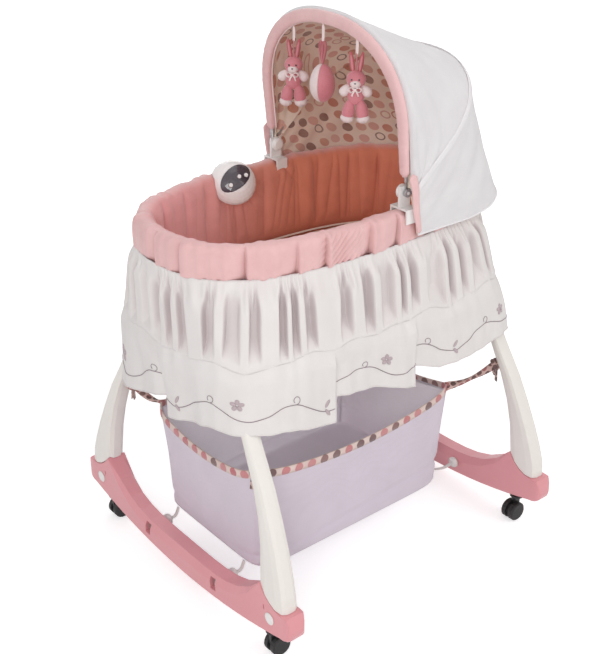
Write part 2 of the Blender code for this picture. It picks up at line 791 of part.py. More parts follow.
# Frame, tub and mattress


def frame_x():
    """The frame's end tubes lie against the inner faces of the legs' tops."""
    height = (frame_z() - LEG_FOOT) / (LEG_TOP - LEG_FOOT)
    return leg_middle_x(height) - leg_half_thickness(height) - FRAME_TUBE_RADIUS - GAP


def frame_z():
    return LEG_TOP - FRAME_TUBE_RADIUS - FRAME_DROP


def make_base_frame():
    points = []
    x, y, z = frame_x(), leg_outer(LEG_OUTER_SHARES[-1]) + FRAME_PAST_LEG, frame_z()
    for way, hand, first in ((1, 1, 0), (-1, 1, 1), (-1, -1, 2), (1, -1, 3)):
        for i in range(CORNER_STEPS + 1):
            turn = math.pi / 2 * (first + i / CORNER_STEPS)
            points.append(Vector((
                way * (x - FRAME_CORNER_RADIUS) + FRAME_CORNER_RADIUS * math.cos(turn),
                hand * (y - FRAME_CORNER_RADIUS) + FRAME_CORNER_RADIUS * math.sin(turn),
                z,
            )))
    return keep(tube("base_frame", points, FRAME_TUBE_RADIUS, closed=True), WHITE, 0.4, 0.2)


def wall_offset(depth_share):
    """How far inside the rail's centre line the tub wall stands, at this share of its depth."""
    return -TUB_TAPER * depth_share


def board_top():
    return frame_z() + FRAME_TUBE_RADIUS + GAP + BOARD_THICKNESS


def make_tub():
    wall_top = RAIL_Z - RAIL_RADIUS - GAP
    wall_foot = board_top() + GAP
    rows = []
    for share in (1.0, 0.0):
        z = wall_top + (wall_foot - wall_top) * share
        rows.append([Vector((*rim_point(turn, wall_offset(share)), z)) for turn in turns()])
    keep(sheet("tub_wall", rows, TUB_WALL_THICKNESS), ROSE, 0.9)
    edge = wall_offset(1.0) + TUB_WALL_THICKNESS / 2
    low = board_top() - BOARD_THICKNESS
    board = loft("tub_floor_board", [
        [Vector((*rim_point(turn, edge), z)) for turn in turns()] for z in (low, board_top())
    ])
    keep(board, CREAM, 0.8)


def make_rail():
    points = [Vector((*rim_point(turn), RAIL_Z)) for turn in turns()]
    return keep(tube("rim_rail", points, RAIL_RADIUS, closed=True), WHITE, 0.4, 0.2)


def pad_crown():
    return RAIL_Z + RAIL_RADIUS + GAP + PAD_TOP_RISE


def pad_section():
    """(outward, z) points round the rim pad: over the top, then back along the hollow over the rail."""
    wide, wall = PAD_HALF_WIDTH, PAD_WALL
    crown = pad_crown()
    roof = crown - PAD_TOP_RISE
    outer_lip = RAIL_Z - PAD_OUTER_LIP_DROP
    inner_lip = RAIL_Z - PAD_INNER_LIP_DROP
    shoulder = (crown - roof) * 0.35
    return (
        (wide * 0.97, outer_lip),
        (wide, RAIL_Z),
        (wide * 0.88, crown - shoulder * 1.6),
        (wide * 0.5, crown - shoulder * 0.4),
        (0.0, crown),
        (-wide * 0.5, crown - shoulder * 0.4),
        (-wide * 0.88, crown - shoulder * 1.6),
        (-wide, RAIL_Z),
        (-wide * 0.97, inner_lip),
        (wall - wide, inner_lip),
        (wall - wide, RAIL_Z),
        (-RAIL_RADIUS * 0.7, roof),
        (RAIL_RADIUS * 0.7, roof),
        (wide - wall, RAIL_Z),
        (wide - wall, outer_lip),
    )


def pad_block(name, grow):
    """The rim pad's outside near the music unit, without its hollow."""
    outside = pad_section()[:9]
    middle = (outside[0][1] + outside[4][1]) / 2
    section = [(out + math.copysign(grow, out), z + math.copysign(grow, z - middle)) for out, z in outside]
    near = turns()[OVAL_STEPS // 8:OVAL_STEPS * 3 // 8 + 1]
    return loft(name, [[Vector((*rim_point(turn, out), z)) for out, z in section] for turn in near])


def make_rim_pad():
    section = pad_section()
    rings = [[Vector((*rim_point(turn, out), z)) for out, z in section] for turn in turns()]
    return keep(loft("rim_pad", rings, loop=True), PALE_PINK, 0.9)


def make_mattress():
    foot = board_top() + GAP
    full = wall_offset(1.0) - TUB_WALL_THICKNESS / 2 - SOFT_GAP
    rings = []
    for pinch, share in MATTRESS_EDGE_SHARES:
        out, z = full - MATTRESS_PINCH * pinch, foot + MATTRESS_THICKNESS * share
        rings.append([Vector((*rim_point(turn, out), z)) for turn in turns(MATTRESS_STEPS)])
    edges = rings[-1]
    centre = Vector((TUB_CENTRE_X, 0, foot + MATTRESS_THICKNESS))
    for share in MATTRESS_CROWN_SHARES:
        lift = Vector((0, 0, MATTRESS_CROWN * (1 - share**2)))
        rings.append([centre.lerp(edge, share) + lift for edge in edges])
    return keep(loft("mattress", rings), CREAM, 0.9)


# Skirt


def skirt_point(turn, share):
    """A point of the skirt's middle surface, by its turn and its share of the drop."""
    out = PAD_HALF_WIDTH - PAD_WALL / 2
    top = rim_point(turn, out)
    hem = oval(SKIRT_HALF_LENGTH, SKIRT_HALF_WIDTH, SKIRT_EXPONENT, 0.0, turn)
    spread = share**SKIRT_FLARE_POWER
    plain = top + (hem - top) * spread
    wave = 0.5 + 0.5 * math.cos(SKIRT_FOLDS * turn)
    deepening = SKIRT_TOP_FOLD_SHARE + (1 - SKIRT_TOP_FOLD_SHARE) * share
    depth = SKIRT_FOLD_DEPTH * deepening * min(1.0, share / SKIRT_FOLD_START_SHARE)
    outward = Vector((plain.x / SKIRT_HALF_LENGTH**2, plain.y / SKIRT_HALF_WIDTH**2)).normalized()
    plain = plain + outward * depth * wave
    high = RAIL_Z - PAD_OUTER_LIP_DROP - SOFT_GAP
    low = SKIRT_HEM_Z + SKIRT_LIFT * abs(math.sin(2 * turn)) ** SKIRT_CORNER_POWER
    return Vector((plain.x, plain.y, high + (low - high) * share))


def make_skirt():
    rows = []
    for share in SKIRT_ROW_SHARES:
        rows.append([skirt_point(turn, share) for turn in turns(SKIRT_FOLDS * 4)])
    return keep(sheet("skirt", rows, SKIRT_THICKNESS), WHITE, 0.9)


# Hood


def make_bow(name, angle, reach, straight, rise):
    """A wire bow over the tub, with a flattened end and an eye at each foot."""
    path = [
        on_hood_plane(angle, across, up)
        for across, up in arch(reach, straight, rise, BOW_EXPONENT, BOW_START)
    ]
    bow = tube(name, path, BOW_TUBE_RADIUS)
    hinge = Vector((HINGE_X, 0, HINGE_Z))
    place = Matrix.Translation(hinge) @ Matrix.Rotation(-angle, 4, "Y")
    for side, hand in SIDES.items():
        eye = Vector((0, hand * reach, 0))
        half = Vector((0, EYE_THICKNESS / 2, 0))
        flat = Vector((0, EYE_THICKNESS * 0.4, 0))
        low = eye - flat - Vector((0, 0, TANG_WIDTH / 2))
        high = eye + flat + Vector((BOW_START + BOW_TUBE_RADIUS, 0, TANG_WIDTH / 2))
        fuse(bow, baked(box(f"tang_{name}_{side}", low, high), place))
        fuse(bow, cylinder(f"eye_{name}_{side}", hinge + eye - half, hinge + eye + half, EYE_RADIUS))
        cut(bow, cylinder(
            f"cut_eye_{name}_{side}", hinge + eye - half * 2, hinge + eye + half * 2,
            PIVOT_SHANK_RADIUS + RUNNING_GAP,
        ))
    return keep(bow, STEEL, 0.3, 1.0, pivot=hinge)


def front_bow_reach():
    return RAIL_HALF_WIDTH + CLAMP_POST_THICKNESS / 2 + RUNNING_GAP + EYE_THICKNESS / 2


def rear_bow_reach():
    return front_bow_reach() + EYE_THICKNESS + RUNNING_GAP


def binding_path():
    """The binding's (across, up) points over the front bow, each with its outward direction."""
    path = arch(front_bow_reach(), BOW_STRAIGHT, BOW_RISE, BOW_EXPONENT, BINDING_START)
    found = []
    for i, here in enumerate(path):
        before = path[max(0, i - 1)]
        after = path[min(len(path) - 1, i + 1)]
        along = Vector((after[0] - before[0], after[1] - before[1])).normalized()
        found.append((here, Vector((along.y, -along.x))))
    return found


def make_binding():
    """The padded edge of the hood: a sleeve over the front bow, open along its back."""
    angle = math.pi / 2 + HOOD_TILT
    half, slot = BINDING_WIDTH / 2, BOW_TUBE_RADIUS + RUNNING_GAP
    section = (
        (half, -BINDING_BACK),
        (half, BINDING_FRONT * 0.4),
        (half * 0.6, BINDING_FRONT),
        (-half * 0.6, BINDING_FRONT),
        (-half, BINDING_FRONT * 0.4),
        (-half, -BINDING_BACK),
        (-slot, -BINDING_BACK),
        (-slot, slot),
        (slot, slot),
        (slot, -BINDING_BACK),
    )
    rings = [
        [on_hood_plane(angle, here[0] + out.x * wide, here[1] + out.y * wide, front) for wide, front in section]
        for here, out in binding_path()
    ]
    obj = loft("canopy_binding", rings)
    return keep(obj, PALE_PINK, 0.9, pivot=Vector((HINGE_X, 0, HINGE_Z)))


def hood_half_width():
    return front_bow_reach() + HOOD_PAST_BOW + COVER_THICKNESS / 2


def hood_front_top():
    up = BOW_STRAIGHT + BOW_RISE + BINDING_WIDTH / 2 + SOFT_GAP + COVER_THICKNESS / 2
    return on_hood_plane(math.pi / 2 + HOOD_TILT, 0, up, -hood_setback())


def hood_front_foot():
    return on_hood_plane(math.pi / 2 + HOOD_TILT, 0, HOOD_HEM_Z - HINGE_Z, -hood_setback())


def hood_setback():
    """The cover starts just behind the binding."""
    return BINDING_BACK + 2 * SOFT_GAP


def hood_rear_top():
    up = REAR_BOW_STRAIGHT + REAR_BOW_RISE + BOW_TUBE_RADIUS + SOFT_GAP + COVER_THICKNESS / 2
    return on_hood_plane(REAR_BOW_ANGLE, 0, up)


def hood_stations():
    """(foot x, foot z, top x, top z, straight share) of the hood's rows, from its mouth to its hem."""
    foot, front, rear = hood_front_foot(), hood_front_top(), hood_rear_top()
    keys = (
        (foot.x, foot.z, front.x, front.z, HOOD_FRONT_STRAIGHT_SHARE),
        (HOOD_REAR_FOOT_X, HOOD_HEM_Z, rear.x, rear.z, HOOD_REAR_STRAIGHT_SHARE),
        (HOOD_MID_FOOT_X, HOOD_HEM_Z, HOOD_MID_X, HOOD_MID_Z, HOOD_MID_STRAIGHT_SHARE),
        (HOOD_CORNER_X, HOOD_HEM_Z, HOOD_HEAD_X, HOOD_HEAD_Z, 0.0),
    )
    stations = []
    for (first, second), count in zip(zip(keys, keys[1:]), HOOD_ROWS):
        for i in range(count):
            share = i / count
            stations.append(tuple(a + (b - a) * share for a, b in zip(first, second)))
    return stations + [keys[-1]]


def hood_point(station, turn):
    """A point of the hood: a turn of 0 is on the left hem, and half a turn on the right hem."""
    foot_x, foot_z, top_x, top_z, straight = station
    across = abs(math.cos(turn)) ** (2 / BOW_EXPONENT) * math.copysign(1, math.cos(turn))
    rise = abs(math.sin(turn)) ** (2 / BOW_EXPONENT)
    share = straight + (1 - straight) * rise
    return Vector((
        foot_x + (top_x - foot_x) * share,
        hood_half_width() * across,
        foot_z + (top_z - foot_z) * share,
    ))


def make_cover():
    rows = []
    for station in hood_stations():
        foot_x, foot_z = station[0], station[1]
        row = [Vector((foot_x, hood_half_width(), foot_z))]
        row += [hood_point(station, math.pi * i / ARCH_STEPS) for i in range(ARCH_STEPS + 1)]
        row.append(Vector((foot_x, -hood_half_width(), foot_z)))
        if station[4] == 0.0:
            row[0], row[-1] = shifted(row[1]), shifted(row[-2])
        rows.append(row)
    cover = sheet("canopy_cover", rows, COVER_THICKNESS, closed_rows=False)
    return keep(cover, WHITE, 0.9, pivot=Vector((HINGE_X, 0, HINGE_Z)))


def shifted(point):
    """The hem's last point lies a little nearer the hinge than the row's own end."""
    return point - Vector((HOOD_CORNER_X - HOOD_MID_FOOT_X, 0, 0)) / 4


# Hood clamps and pivot pins


def make_clamp(side, hand):
    """An upside-down U over the rim pad, with a post that carries the hood's hinge."""
    mid = RAIL_HALF_WIDTH
    inner = mid - PAD_HALF_WIDTH - SOFT_GAP
    outer = mid + PAD_HALF_WIDTH + SOFT_GAP
    roof = pad_crown() + GAP
    low = roof - CLAMP_JAW_DROP
    half_post = CLAMP_POST_THICKNESS / 2
    crest = HINGE_Z + CLAMP_CREST
    outline = [
        (inner, low), (inner, roof), (outer, roof), (outer, low),
        (outer + CLAMP_WALL, low), (outer + CLAMP_WALL, roof + CLAMP_WALL),
        (mid + half_post, roof + CLAMP_WALL), (mid + half_post, crest),
        (mid - half_post, crest), (mid - half_post, roof + CLAMP_WALL),
        (inner - CLAMP_WALL, roof + CLAMP_WALL), (inner - CLAMP_WALL, low),
    ]
    outline = [(hand * across, up) for across, up in outline]
    clamp = outline_plate(f"canopy_clamp_{side}", outline, CLAMP_LENGTH, stand_in_yz(HINGE_X))
    reach = Vector((0, CLAMP_POST_THICKNESS + OVERRUN, 0))
    centre = Vector((HINGE_X, hand * mid, HINGE_Z))
    cut(clamp, cylinder(f"cut_clamp_{side}", centre - reach, centre + reach, PIVOT_SHANK_RADIUS + RUNNING_GAP))
    return keep(clamp, WHITE, 0.4)


def make_pivot(side, hand):
    """The pin's round head sits inside the clamp's post, and its shank carries both bows' eyes."""
    face = RAIL_HALF_WIDTH - CLAMP_POST_THICKNESS / 2 - GAP
    tip = rear_bow_reach() + EYE_THICKNESS / 2 + GAP
    profile = (
        (0.0, PIVOT_HEAD_THICKNESS),
        (PIVOT_HEAD_RADIUS * 0.7, PIVOT_HEAD_THICKNESS * 0.93),
        (PIVOT_HEAD_RADIUS, PIVOT_HEAD_THICKNESS * 0.55),
        (PIVOT_HEAD_RADIUS, PIVOT_HEAD_THICKNESS * 0.1),
        (PIVOT_HEAD_RADIUS * 0.9, 0.0),
        (PIVOT_SHANK_RADIUS, 0.0),
        (PIVOT_SHANK_RADIUS, face - tip),
        (0.0, face - tip),
    )
    turn = Vector((0, 0, 1)).rotation_difference(Vector((0, -hand, 0))).to_matrix().to_4x4()
    place = Matrix.Translation((HINGE_X, hand * face, HINGE_Z)) @ turn
    return keep(turned(f"canopy_pivot_{side}", profile, ROUND_STEPS, place), WHITE, 0.4)


# Music unit


def music_frame():
    """The unit's base plane: local Z is the way it faces, and local Y is up the dome."""
    flat = math.cos(MUSIC_LIFT)
    facing = Vector((-math.sin(MUSIC_TURN) * flat, -math.cos(MUSIC_TURN) * flat, math.sin(MUSIC_LIFT)))
    up = (Vector((0, 0, 1)) - facing * facing.z).normalized()
    right = up.cross(facing)
    place = Matrix((right, up, facing)).transposed().to_4x4()
    place.translation = Vector((MUSIC_X, MUSIC_Y, MUSIC_Z))
    return place


def dome(name, grow=0.0):
    radii = (MUSIC_RADIUS + grow, MUSIC_RADIUS + grow, MUSIC_DEPTH + grow)
    bm = bmesh.new()
    bmesh.ops.create_uvsphere(bm, u_segments=DOME_STEPS, v_segments=14, radius=1.0)
    bmesh.ops.transform(bm, matrix=Matrix.Diagonal((*radii, 1)), verts=bm.verts)
    bmesh.ops.transform(bm, matrix=music_frame(), verts=bm.verts)
    return link_mesh(name, bm)


def oval_peg(name, half_length, half_width, foot, head):
    """An oval column standing off the dome's base, rolled as the panel is."""
    bm = bmesh.new()
    bmesh.ops.create_cone(bm, cap_ends=True, segments=DOME_STEPS, radius1=1.0, radius2=1.0, depth=1.0)
    size = Matrix.Diagonal((half_length, half_width, head - foot, 1))
    lift = Matrix.Translation((0, 0, (head + foot) / 2))
    roll = Matrix.Rotation(PANEL_ROLL, 4, "Z")
    bmesh.ops.transform(bm, matrix=music_frame() @ lift @ roll @ size, verts=bm.verts)
    return link_mesh(name, bm)


def button_place(share_x, share_y):
    roll = Matrix.Rotation(PANEL_ROLL, 4, "Z")
    local = roll @ Vector((PANEL_HALF_LENGTH * share_x, PANEL_HALF_WIDTH * share_y, 0))
    flat = (local.x**2 + local.y**2) / MUSIC_RADIUS**2
    surface = MUSIC_DEPTH * math.sqrt(1 - flat)
    return Vector((local.x, local.y, surface))


def make_music_unit():
    place = music_frame()
    housing = dome("music_unit_housing")
    back = box("cut_music_back", (-OVERRUN, -OVERRUN, -OVERRUN), (0, 0, 0))
    size = MUSIC_RADIUS * 2 / OVERRUN
    grow = Matrix.Translation((MUSIC_RADIUS, MUSIC_RADIUS, 0)) @ Matrix.Diagonal((size, size, size, 1))
    cut(housing, baked(back, place @ grow))
    cut(housing, pad_block("cut_music_pad", SOFT_GAP))
    hook_inner = RAIL_HALF_WIDTH - PAD_HALF_WIDTH - SOFT_GAP
    roof = pad_crown() + GAP
    outer = RAIL_HALF_WIDTH + PAD_HALF_WIDTH + SOFT_GAP
    outline = [
        (hook_inner, roof), (outer, roof), (outer, roof - CLAMP_JAW_DROP),
        (outer + CLAMP_WALL, roof - CLAMP_JAW_DROP), (outer + CLAMP_WALL, roof + CLAMP_WALL),
        (hook_inner, roof + CLAMP_WALL),
    ]
    fuse(housing, outline_plate("music_hook", outline, MUSIC_HOOK_LENGTH, stand_in_yz(MUSIC_X)))
    core = dome("music_core", -PANEL_THICKNESS - GAP)
    recess = oval_peg("cut_panel", PANEL_HALF_LENGTH + GAP, PANEL_HALF_WIDTH + GAP, 0.0, MUSIC_DEPTH * 2)
    cut(housing, cut(recess, core))
    panel = oval_peg("music_unit_panel", PANEL_HALF_LENGTH, PANEL_HALF_WIDTH, 0.0, MUSIC_DEPTH * 2)
    combine(panel, dome("panel_outside"), "INTERSECT")
    cut(panel, dome("panel_inside", -PANEL_THICKNESS))
    for number, (share_x, share_y) in enumerate(BUTTON_SHARES, 1):
        top = button_place(share_x, share_y)
        foot = top - Vector((0, 0, BUTTON_LENGTH - BUTTON_PROUD))
        head = top + Vector((0, 0, BUTTON_PROUD))
        well = foot - Vector((0, 0, BUTTON_TRAVEL + GAP))
        bore_radius = BUTTON_RADIUS + RUNNING_GAP
        over = head + Vector((0, 0, OVERRUN))
        bore = cylinder(f"cut_button_{number}", place @ well, place @ over, bore_radius)
        cut(housing, bore)
        cut(panel, bore)
        button = cylinder(f"music_button_{number}", place @ foot, place @ head, BUTTON_RADIUS)
        keep(button, WHITE, 0.4, pivot=place @ foot)
    keep(housing, WHITE, 0.4)
    keep(panel, CHARCOAL, 0.3)


# Basket


def basket_point(turn, share, grow=0.0):
    """A point of the basket's wall by its share of the height, the top edge sagging between corners."""
    half_length = BASKET_FLOOR_HALF_LENGTH + (BASKET_HALF_LENGTH - BASKET_FLOOR_HALF_LENGTH) * share
    half_width = BASKET_FLOOR_HALF_WIDTH + (BASKET_HALF_WIDTH - BASKET_FLOOR_HALF_WIDTH) * share
    point = oval(half_length + grow, half_width + grow, BASKET_EXPONENT, BASKET_CENTRE_X, turn)
    near, far = sorted((abs(math.sin(turn)), abs(math.cos(turn))))
    top = BASKET_TOP_Z - BASKET_SAG * (1 - (near / far) ** 2)
    return Vector((point.x, point.y, BASKET_FLOOR_Z + (top - BASKET_FLOOR_Z) * share))


def make_basket():
    rows = [[basket_point(turn, 0.0, -2 * BASKET_THICKNESS) for turn in turns()]]
    rows += [[basket_point(turn, share) for turn in turns()] for share in BASKET_ROW_SHARES]
    return keep(sheet("basket", rows, BASKET_THICKNESS, floor=True), LILAC, 0.9)


def leg_inner_at(z):
    """(x, reach) of the leg's inner edge at this height."""
    height = (z - LEG_FOOT) / (LEG_TOP - LEG_FOOT)
    pairs = list(zip(LEG_HEIGHT_SHARES, LEG_INNER_SHARES))
    for (low, first), (high, second) in zip(pairs, pairs[1:]):
        if low <= height <= high:
            share = (height - low) / (high - low)
            return leg_middle_x(height), leg_inner(first + (second - first) * share)
    return END_X, leg_inner(1.0)


def make_tie(end, way, side, hand):
    """A ribbon from the basket's corner to the leg, cut to its length between the two."""
    corner = basket_point(hand * (TIE_TURN if way > 0 else math.pi - TIE_TURN), 1.0)
    start = corner - Vector((0, 0, TIE_WIDTH / 2))
    leg_x, reach = leg_inner_at(TIE_LEG_Z)
    finish_point = Vector((way * leg_x, hand * (reach + TIE_THICKNESS), TIE_LEG_Z))
    rings = []
    for i in range(TIE_STEPS + 1):
        share = i / TIE_STEPS
        mid = start.lerp(finish_point, share) - Vector((0, 0, TIE_DIP * 4 * share * (1 - share)))
        along = (finish_point - start).normalized()
        side_way = Vector((-along.y, along.x, 0)).normalized() * TIE_THICKNESS / 2
        up = Vector((0, 0, TIE_WIDTH / 2 * (1 - TIE_NARROWING_SHARE * share)))
        rings.append([mid + side_way + up, mid - side_way + up, mid - side_way - up, mid + side_way - up])
    tie = loft(f"basket_tie_{end}_{side}", rings)
    cut(tie, loft(f"cut_tie_leg_{end}_{side}", leg_sections(way, hand, GAP)))
    grow = BASKET_THICKNESS / 2 + GAP
    fill = [[basket_point(turn, share, grow) for turn in turns()] for share in (0.0, 1.0)]
    fill.append([point + Vector((0, 0, TIE_WIDTH * 2)) for point in fill[1]])
    cut(tie, loft(f"cut_tie_basket_{end}_{side}", fill))
    return keep(tie, BROWN, 0.9)


def make_strap(end, way, side, hand):
    """A strap at a lower corner of the basket: a knot inside the rocker and a toggle in its pocket."""
    outer = way * (END_X + ROCKER_THICKNESS / 2)
    inner = way * (END_X - ROCKER_THICKNESS / 2)
    y = hand * POCKET_REACH
    knot_face = inner - way * GAP
    knot_centre = Vector((knot_face - way * STRAP_RADIUS, y, POCKET_Z))
    strap = ball(
        f"basket_strap_{end}_{side}", knot_centre,
        (STRAP_RADIUS, STRAP_KNOT_WIDTH / 2, STRAP_KNOT_WIDTH / 2), across=10,
    )
    floor = outer - way * (POCKET_DEPTH - GAP)
    fuse(strap, cylinder(
        f"shank_{end}_{side}", knot_centre, (floor + way * TOGGLE_THICKNESS / 2, y, POCKET_Z),
        STRAP_SHANK_RADIUS, steps=10,
    ))
    half_width = POCKET_WIDTH / 2 - SOFT_GAP * 2
    half_height = POCKET_HEIGHT / 2 - SOFT_GAP * 3
    ends = (floor, floor + way * TOGGLE_THICKNESS)
    fuse(strap, box(
        f"toggle_{end}_{side}",
        sorted_low(ends, y - half_width, POCKET_Z - half_height),
        sorted_high(ends, y + half_width, POCKET_Z + half_height),
    ))
    edge = BASKET_CENTRE_X + way * BASKET_FLOOR_HALF_LENGTH
    web_start = Vector((knot_centre.x, y, POCKET_Z))
    web_end = Vector((edge + way * (BASKET_THICKNESS + GAP), y, BASKET_FLOOR_Z + BASKET_THICKNESS))
    if abs(web_end.x) < abs(web_start.x):
        fuse(strap, cylinder(
            f"web_{end}_{side}", web_start, web_end, STRAP_SHANK_RADIUS, STRAP_SHANK_RADIUS * 0.6, steps=8
        ))
    return keep(strap, WHITE, 0.9)


# Hanging toys


def toy_pivot(name):
    """Where a toy's ribbon meets the inner edge of the binding."""
    across = TOY_REACHES[name]
    edge = [(here[0] - out.x * BINDING_WIDTH / 2, here[1] - out.y * BINDING_WIDTH / 2)
            for here, out in binding_path()]
    top = [(y, up) for y, up in edge if up > BOW_STRAIGHT]
    for (first_y, first_up), (second_y, second_up) in zip(top, top[1:]):
        if first_y >= across >= second_y:
            share = (first_y - across) / (first_y - second_y)
            up = first_up + (second_up - first_up) * share
            return on_hood_plane(math.pi / 2 + HOOD_TILT, across, up - 2 * GAP)
    return None


def below(point, drop, across=0.0, forward=0.0):
    return point + Vector((forward, across, -drop))


def ellipsoid(name, centre, radii, grow=0.0, **more):
    return ball(name, centre, tuple(radius + grow for radius in radii), **more)


def limb_shape(height):
    """A limb is narrow at its root and full at its paw."""
    return 1.0 - LIMB_NARROWING * height


def body_shape(height):
    return 1.0 - BODY_NARROWING * height


def make_bunny(name):
    pivot = toy_pivot(name)
    label = f"bunny_{name}"
    head_centre = below(pivot, HEAD_DROP)
    head_radii = (HEAD_RADIUS * 0.92, HEAD_RADIUS, HEAD_RADIUS * 0.95)
    body_centre = below(pivot, BODY_DROP)
    body_radii = (BODY_RADIUS * 0.9, BODY_RADIUS, BODY_HEIGHT / 2)
    head = ellipsoid(f"{label}_head", head_centre, head_radii, across=12, along=8)
    ear_middle = EAR_TOP_DROP + EAR_LENGTH / 2
    for side, hand in SIDES.items():
        ear_centre = below(pivot, ear_middle + EAR_RADIUS / 2, hand * EAR_SPREAD)
        lean = Matrix.Rotation(-hand * EAR_LEAN, 3, "X")
        ear = ellipsoid(
            f"ear_{label}_{side}", ear_centre, (EAR_RADIUS * 0.7, EAR_RADIUS, EAR_LENGTH / 2 + EAR_RADIUS),
            turn=lean, across=8, along=6,
        )
        fuse(head, ear)
    ribbon_end = below(pivot, HEAD_DROP - HEAD_RADIUS / 2)
    fuse(head, cylinder(f"ribbon_{label}", ribbon_end, pivot, RIBBON_RADIUS, RIBBON_TIP_RADIUS, steps=8))
    body = ellipsoid(f"{label}_body", body_centre, body_radii, across=12, along=8, shape=body_shape)
    head_cut = ellipsoid(f"cut_head_{label}", head_centre, head_radii, GAP, across=12, along=8)
    cut(body, head_cut)
    keep(head, PALE_PINK, 0.95, pivot=pivot)
    body_cut = ellipsoid(
        f"cut_body_{label}", body_centre, body_radii, GAP, across=12, along=8, shape=body_shape
    )
    limbs = {
        "arm": (ARM_DROP, ARM_REACH, (ARM_RADIUS, ARM_RADIUS, ARM_LENGTH / 2), ARM_SPLAY),
        "leg": (SHIN_DROP, SHIN_REACH, (SHIN_RADIUS, SHIN_RADIUS, SHIN_LENGTH / 2), SHIN_SPLAY),
    }
    for kind, (drop, reach, radii, splay) in limbs.items():
        for side, hand in SIDES.items():
            centre = below(pivot, drop, hand * reach, -BODY_RADIUS / 4)
            lean = Matrix.Rotation(hand * splay, 3, "X")
            limb = ellipsoid(
                f"{label}_{kind}_{side}", centre, radii, turn=lean, across=8, along=7, shape=limb_shape
            )
            cut(limb, body_cut)
            if kind == "arm":
                cut(limb, head_cut)
            keep(limb, PALE_PINK, 0.95, pivot=pivot)
    keep(body, WHITE, 0.95, pivot=pivot)


def make_egg():
    pivot = toy_pivot("middle")
    centre = below(pivot, EGG_TOP_DROP + EGG_HEIGHT / 2)

    def egg_shape(height):
        return 1.0 - EGG_NARROWING * height

    egg = ball(
        "toy_egg", centre, (EGG_RADIUS, EGG_RADIUS, EGG_HEIGHT / 2), across=14, along=10, shape=egg_shape
    )
    ribbon_end = below(pivot, EGG_TOP_DROP + EGG_RADIUS / 2)
    fuse(egg, cylinder("ribbon_egg", ribbon_end, pivot, RIBBON_RADIUS, RIBBON_TIP_RADIUS, steps=8))
    return keep(egg, PALE_PINK, 0.95, pivot=pivot)


def make_cradle():
    for end, way in ENDS.items():
        make_rocker(end, way)
        for side, hand in SIDES.items():
            make_leg(end, way, side, hand)
            make_cap(end, way, side, hand)
            make_caster(end, way, side, hand)
            make_tie(end, way, side, hand)
            make_strap(end, way, side, hand)
    make_base_frame()
    make_tub()
    make_rail()
    make_rim_pad()
    make_mattress()
    make_skirt()
    make_basket()
    make_bow("front_bow", math.pi / 2 + HOOD_TILT, front_bow_reach(), BOW_STRAIGHT, BOW_RISE)
    make_bow("rear_bow", REAR_BOW_ANGLE, rear_bow_reach(), REAR_BOW_STRAIGHT, REAR_BOW_RISE)
    make_binding()
    make_cover()
    for side, hand in SIDES.items():
        make_clamp(side, hand)
        make_pivot(side, hand)
    make_music_unit()
    make_bunny("left")
    make_bunny("right")
    make_egg()


clear_scene()
parts = new_collection("baby_cradle")
cutters = new_collection("cutters")
make_cradle()
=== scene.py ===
"""The looks of the baby cradle. Lengths are in metres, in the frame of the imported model:
+X runs to the head end, where the hood is, +Z is up and the floor is at zero."""

import math

import bmesh
import bpy
import numpy as np
from mathutils import Matrix, Vector, noise


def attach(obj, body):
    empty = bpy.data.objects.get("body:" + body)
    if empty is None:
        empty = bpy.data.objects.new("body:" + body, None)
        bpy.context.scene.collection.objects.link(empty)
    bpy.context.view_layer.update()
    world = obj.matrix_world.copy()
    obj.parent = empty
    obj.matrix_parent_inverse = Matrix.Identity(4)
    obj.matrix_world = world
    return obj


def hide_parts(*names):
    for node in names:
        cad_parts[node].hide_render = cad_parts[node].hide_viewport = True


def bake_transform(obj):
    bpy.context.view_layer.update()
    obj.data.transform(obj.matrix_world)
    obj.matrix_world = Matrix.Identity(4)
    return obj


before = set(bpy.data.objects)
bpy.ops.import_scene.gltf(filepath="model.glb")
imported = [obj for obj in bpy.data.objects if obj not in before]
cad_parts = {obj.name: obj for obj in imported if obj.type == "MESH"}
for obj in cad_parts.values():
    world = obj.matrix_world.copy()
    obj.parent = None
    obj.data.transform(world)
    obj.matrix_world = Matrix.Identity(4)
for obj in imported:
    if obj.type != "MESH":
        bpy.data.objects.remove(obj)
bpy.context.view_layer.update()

# Camera
CAMERA_AZIMUTH = math.radians(-39.617)
CAMERA_ELEVATION = math.radians(26.583)
CAMERA_ROLL = 0.00329
CAMERA_DISTANCE = 2.4276
CAMERA_TARGET = Vector((-0.0518, 0.0, 0.5196))
FOCAL_PIXELS = 1124.2
IMAGE_HEIGHT = 654
SENSOR = 36.0

# Floor and light
FLOOR_REACH = 9
LAMP_AIM = Vector((0.0, 0.0, 0.6))

# Cloth: how thick the sheets are, and how far a cloth's tone wanders to its shade
CLOTH_THICKNESS = 0.0012
MOTTLE = 0.35

# Tub and rim, as ovals about the rail's centre line
TUB_CENTRE_X = -0.022
RAIL_HALF_LENGTH = 0.364
RAIL_HALF_WIDTH = 0.202
RIM_EXPONENT = 2.67
RAIL_Z = 0.798
PAD_HALF_WIDTH = 0.0185
PAD_CROWN = 0.8284
PAD_OUTER_LIP = 0.762
WALL_FOOT = 0.6008
TUB_TAPER = 0.016
WALL_THICKNESS = 0.004
MATTRESS_FOOT = 0.6008
MATTRESS_TOP = 0.655
MATTRESS_CLEARANCE = 0.0035
# Radii of the pipings, the rolled hem and the seams
MATTRESS_PIPING, HOOD_PIPING, BINDING_TRIM = 0.0022, 0.0024, 0.0018
HEM_ROLL, BASKET_SEAM = 0.0016, 0.0015
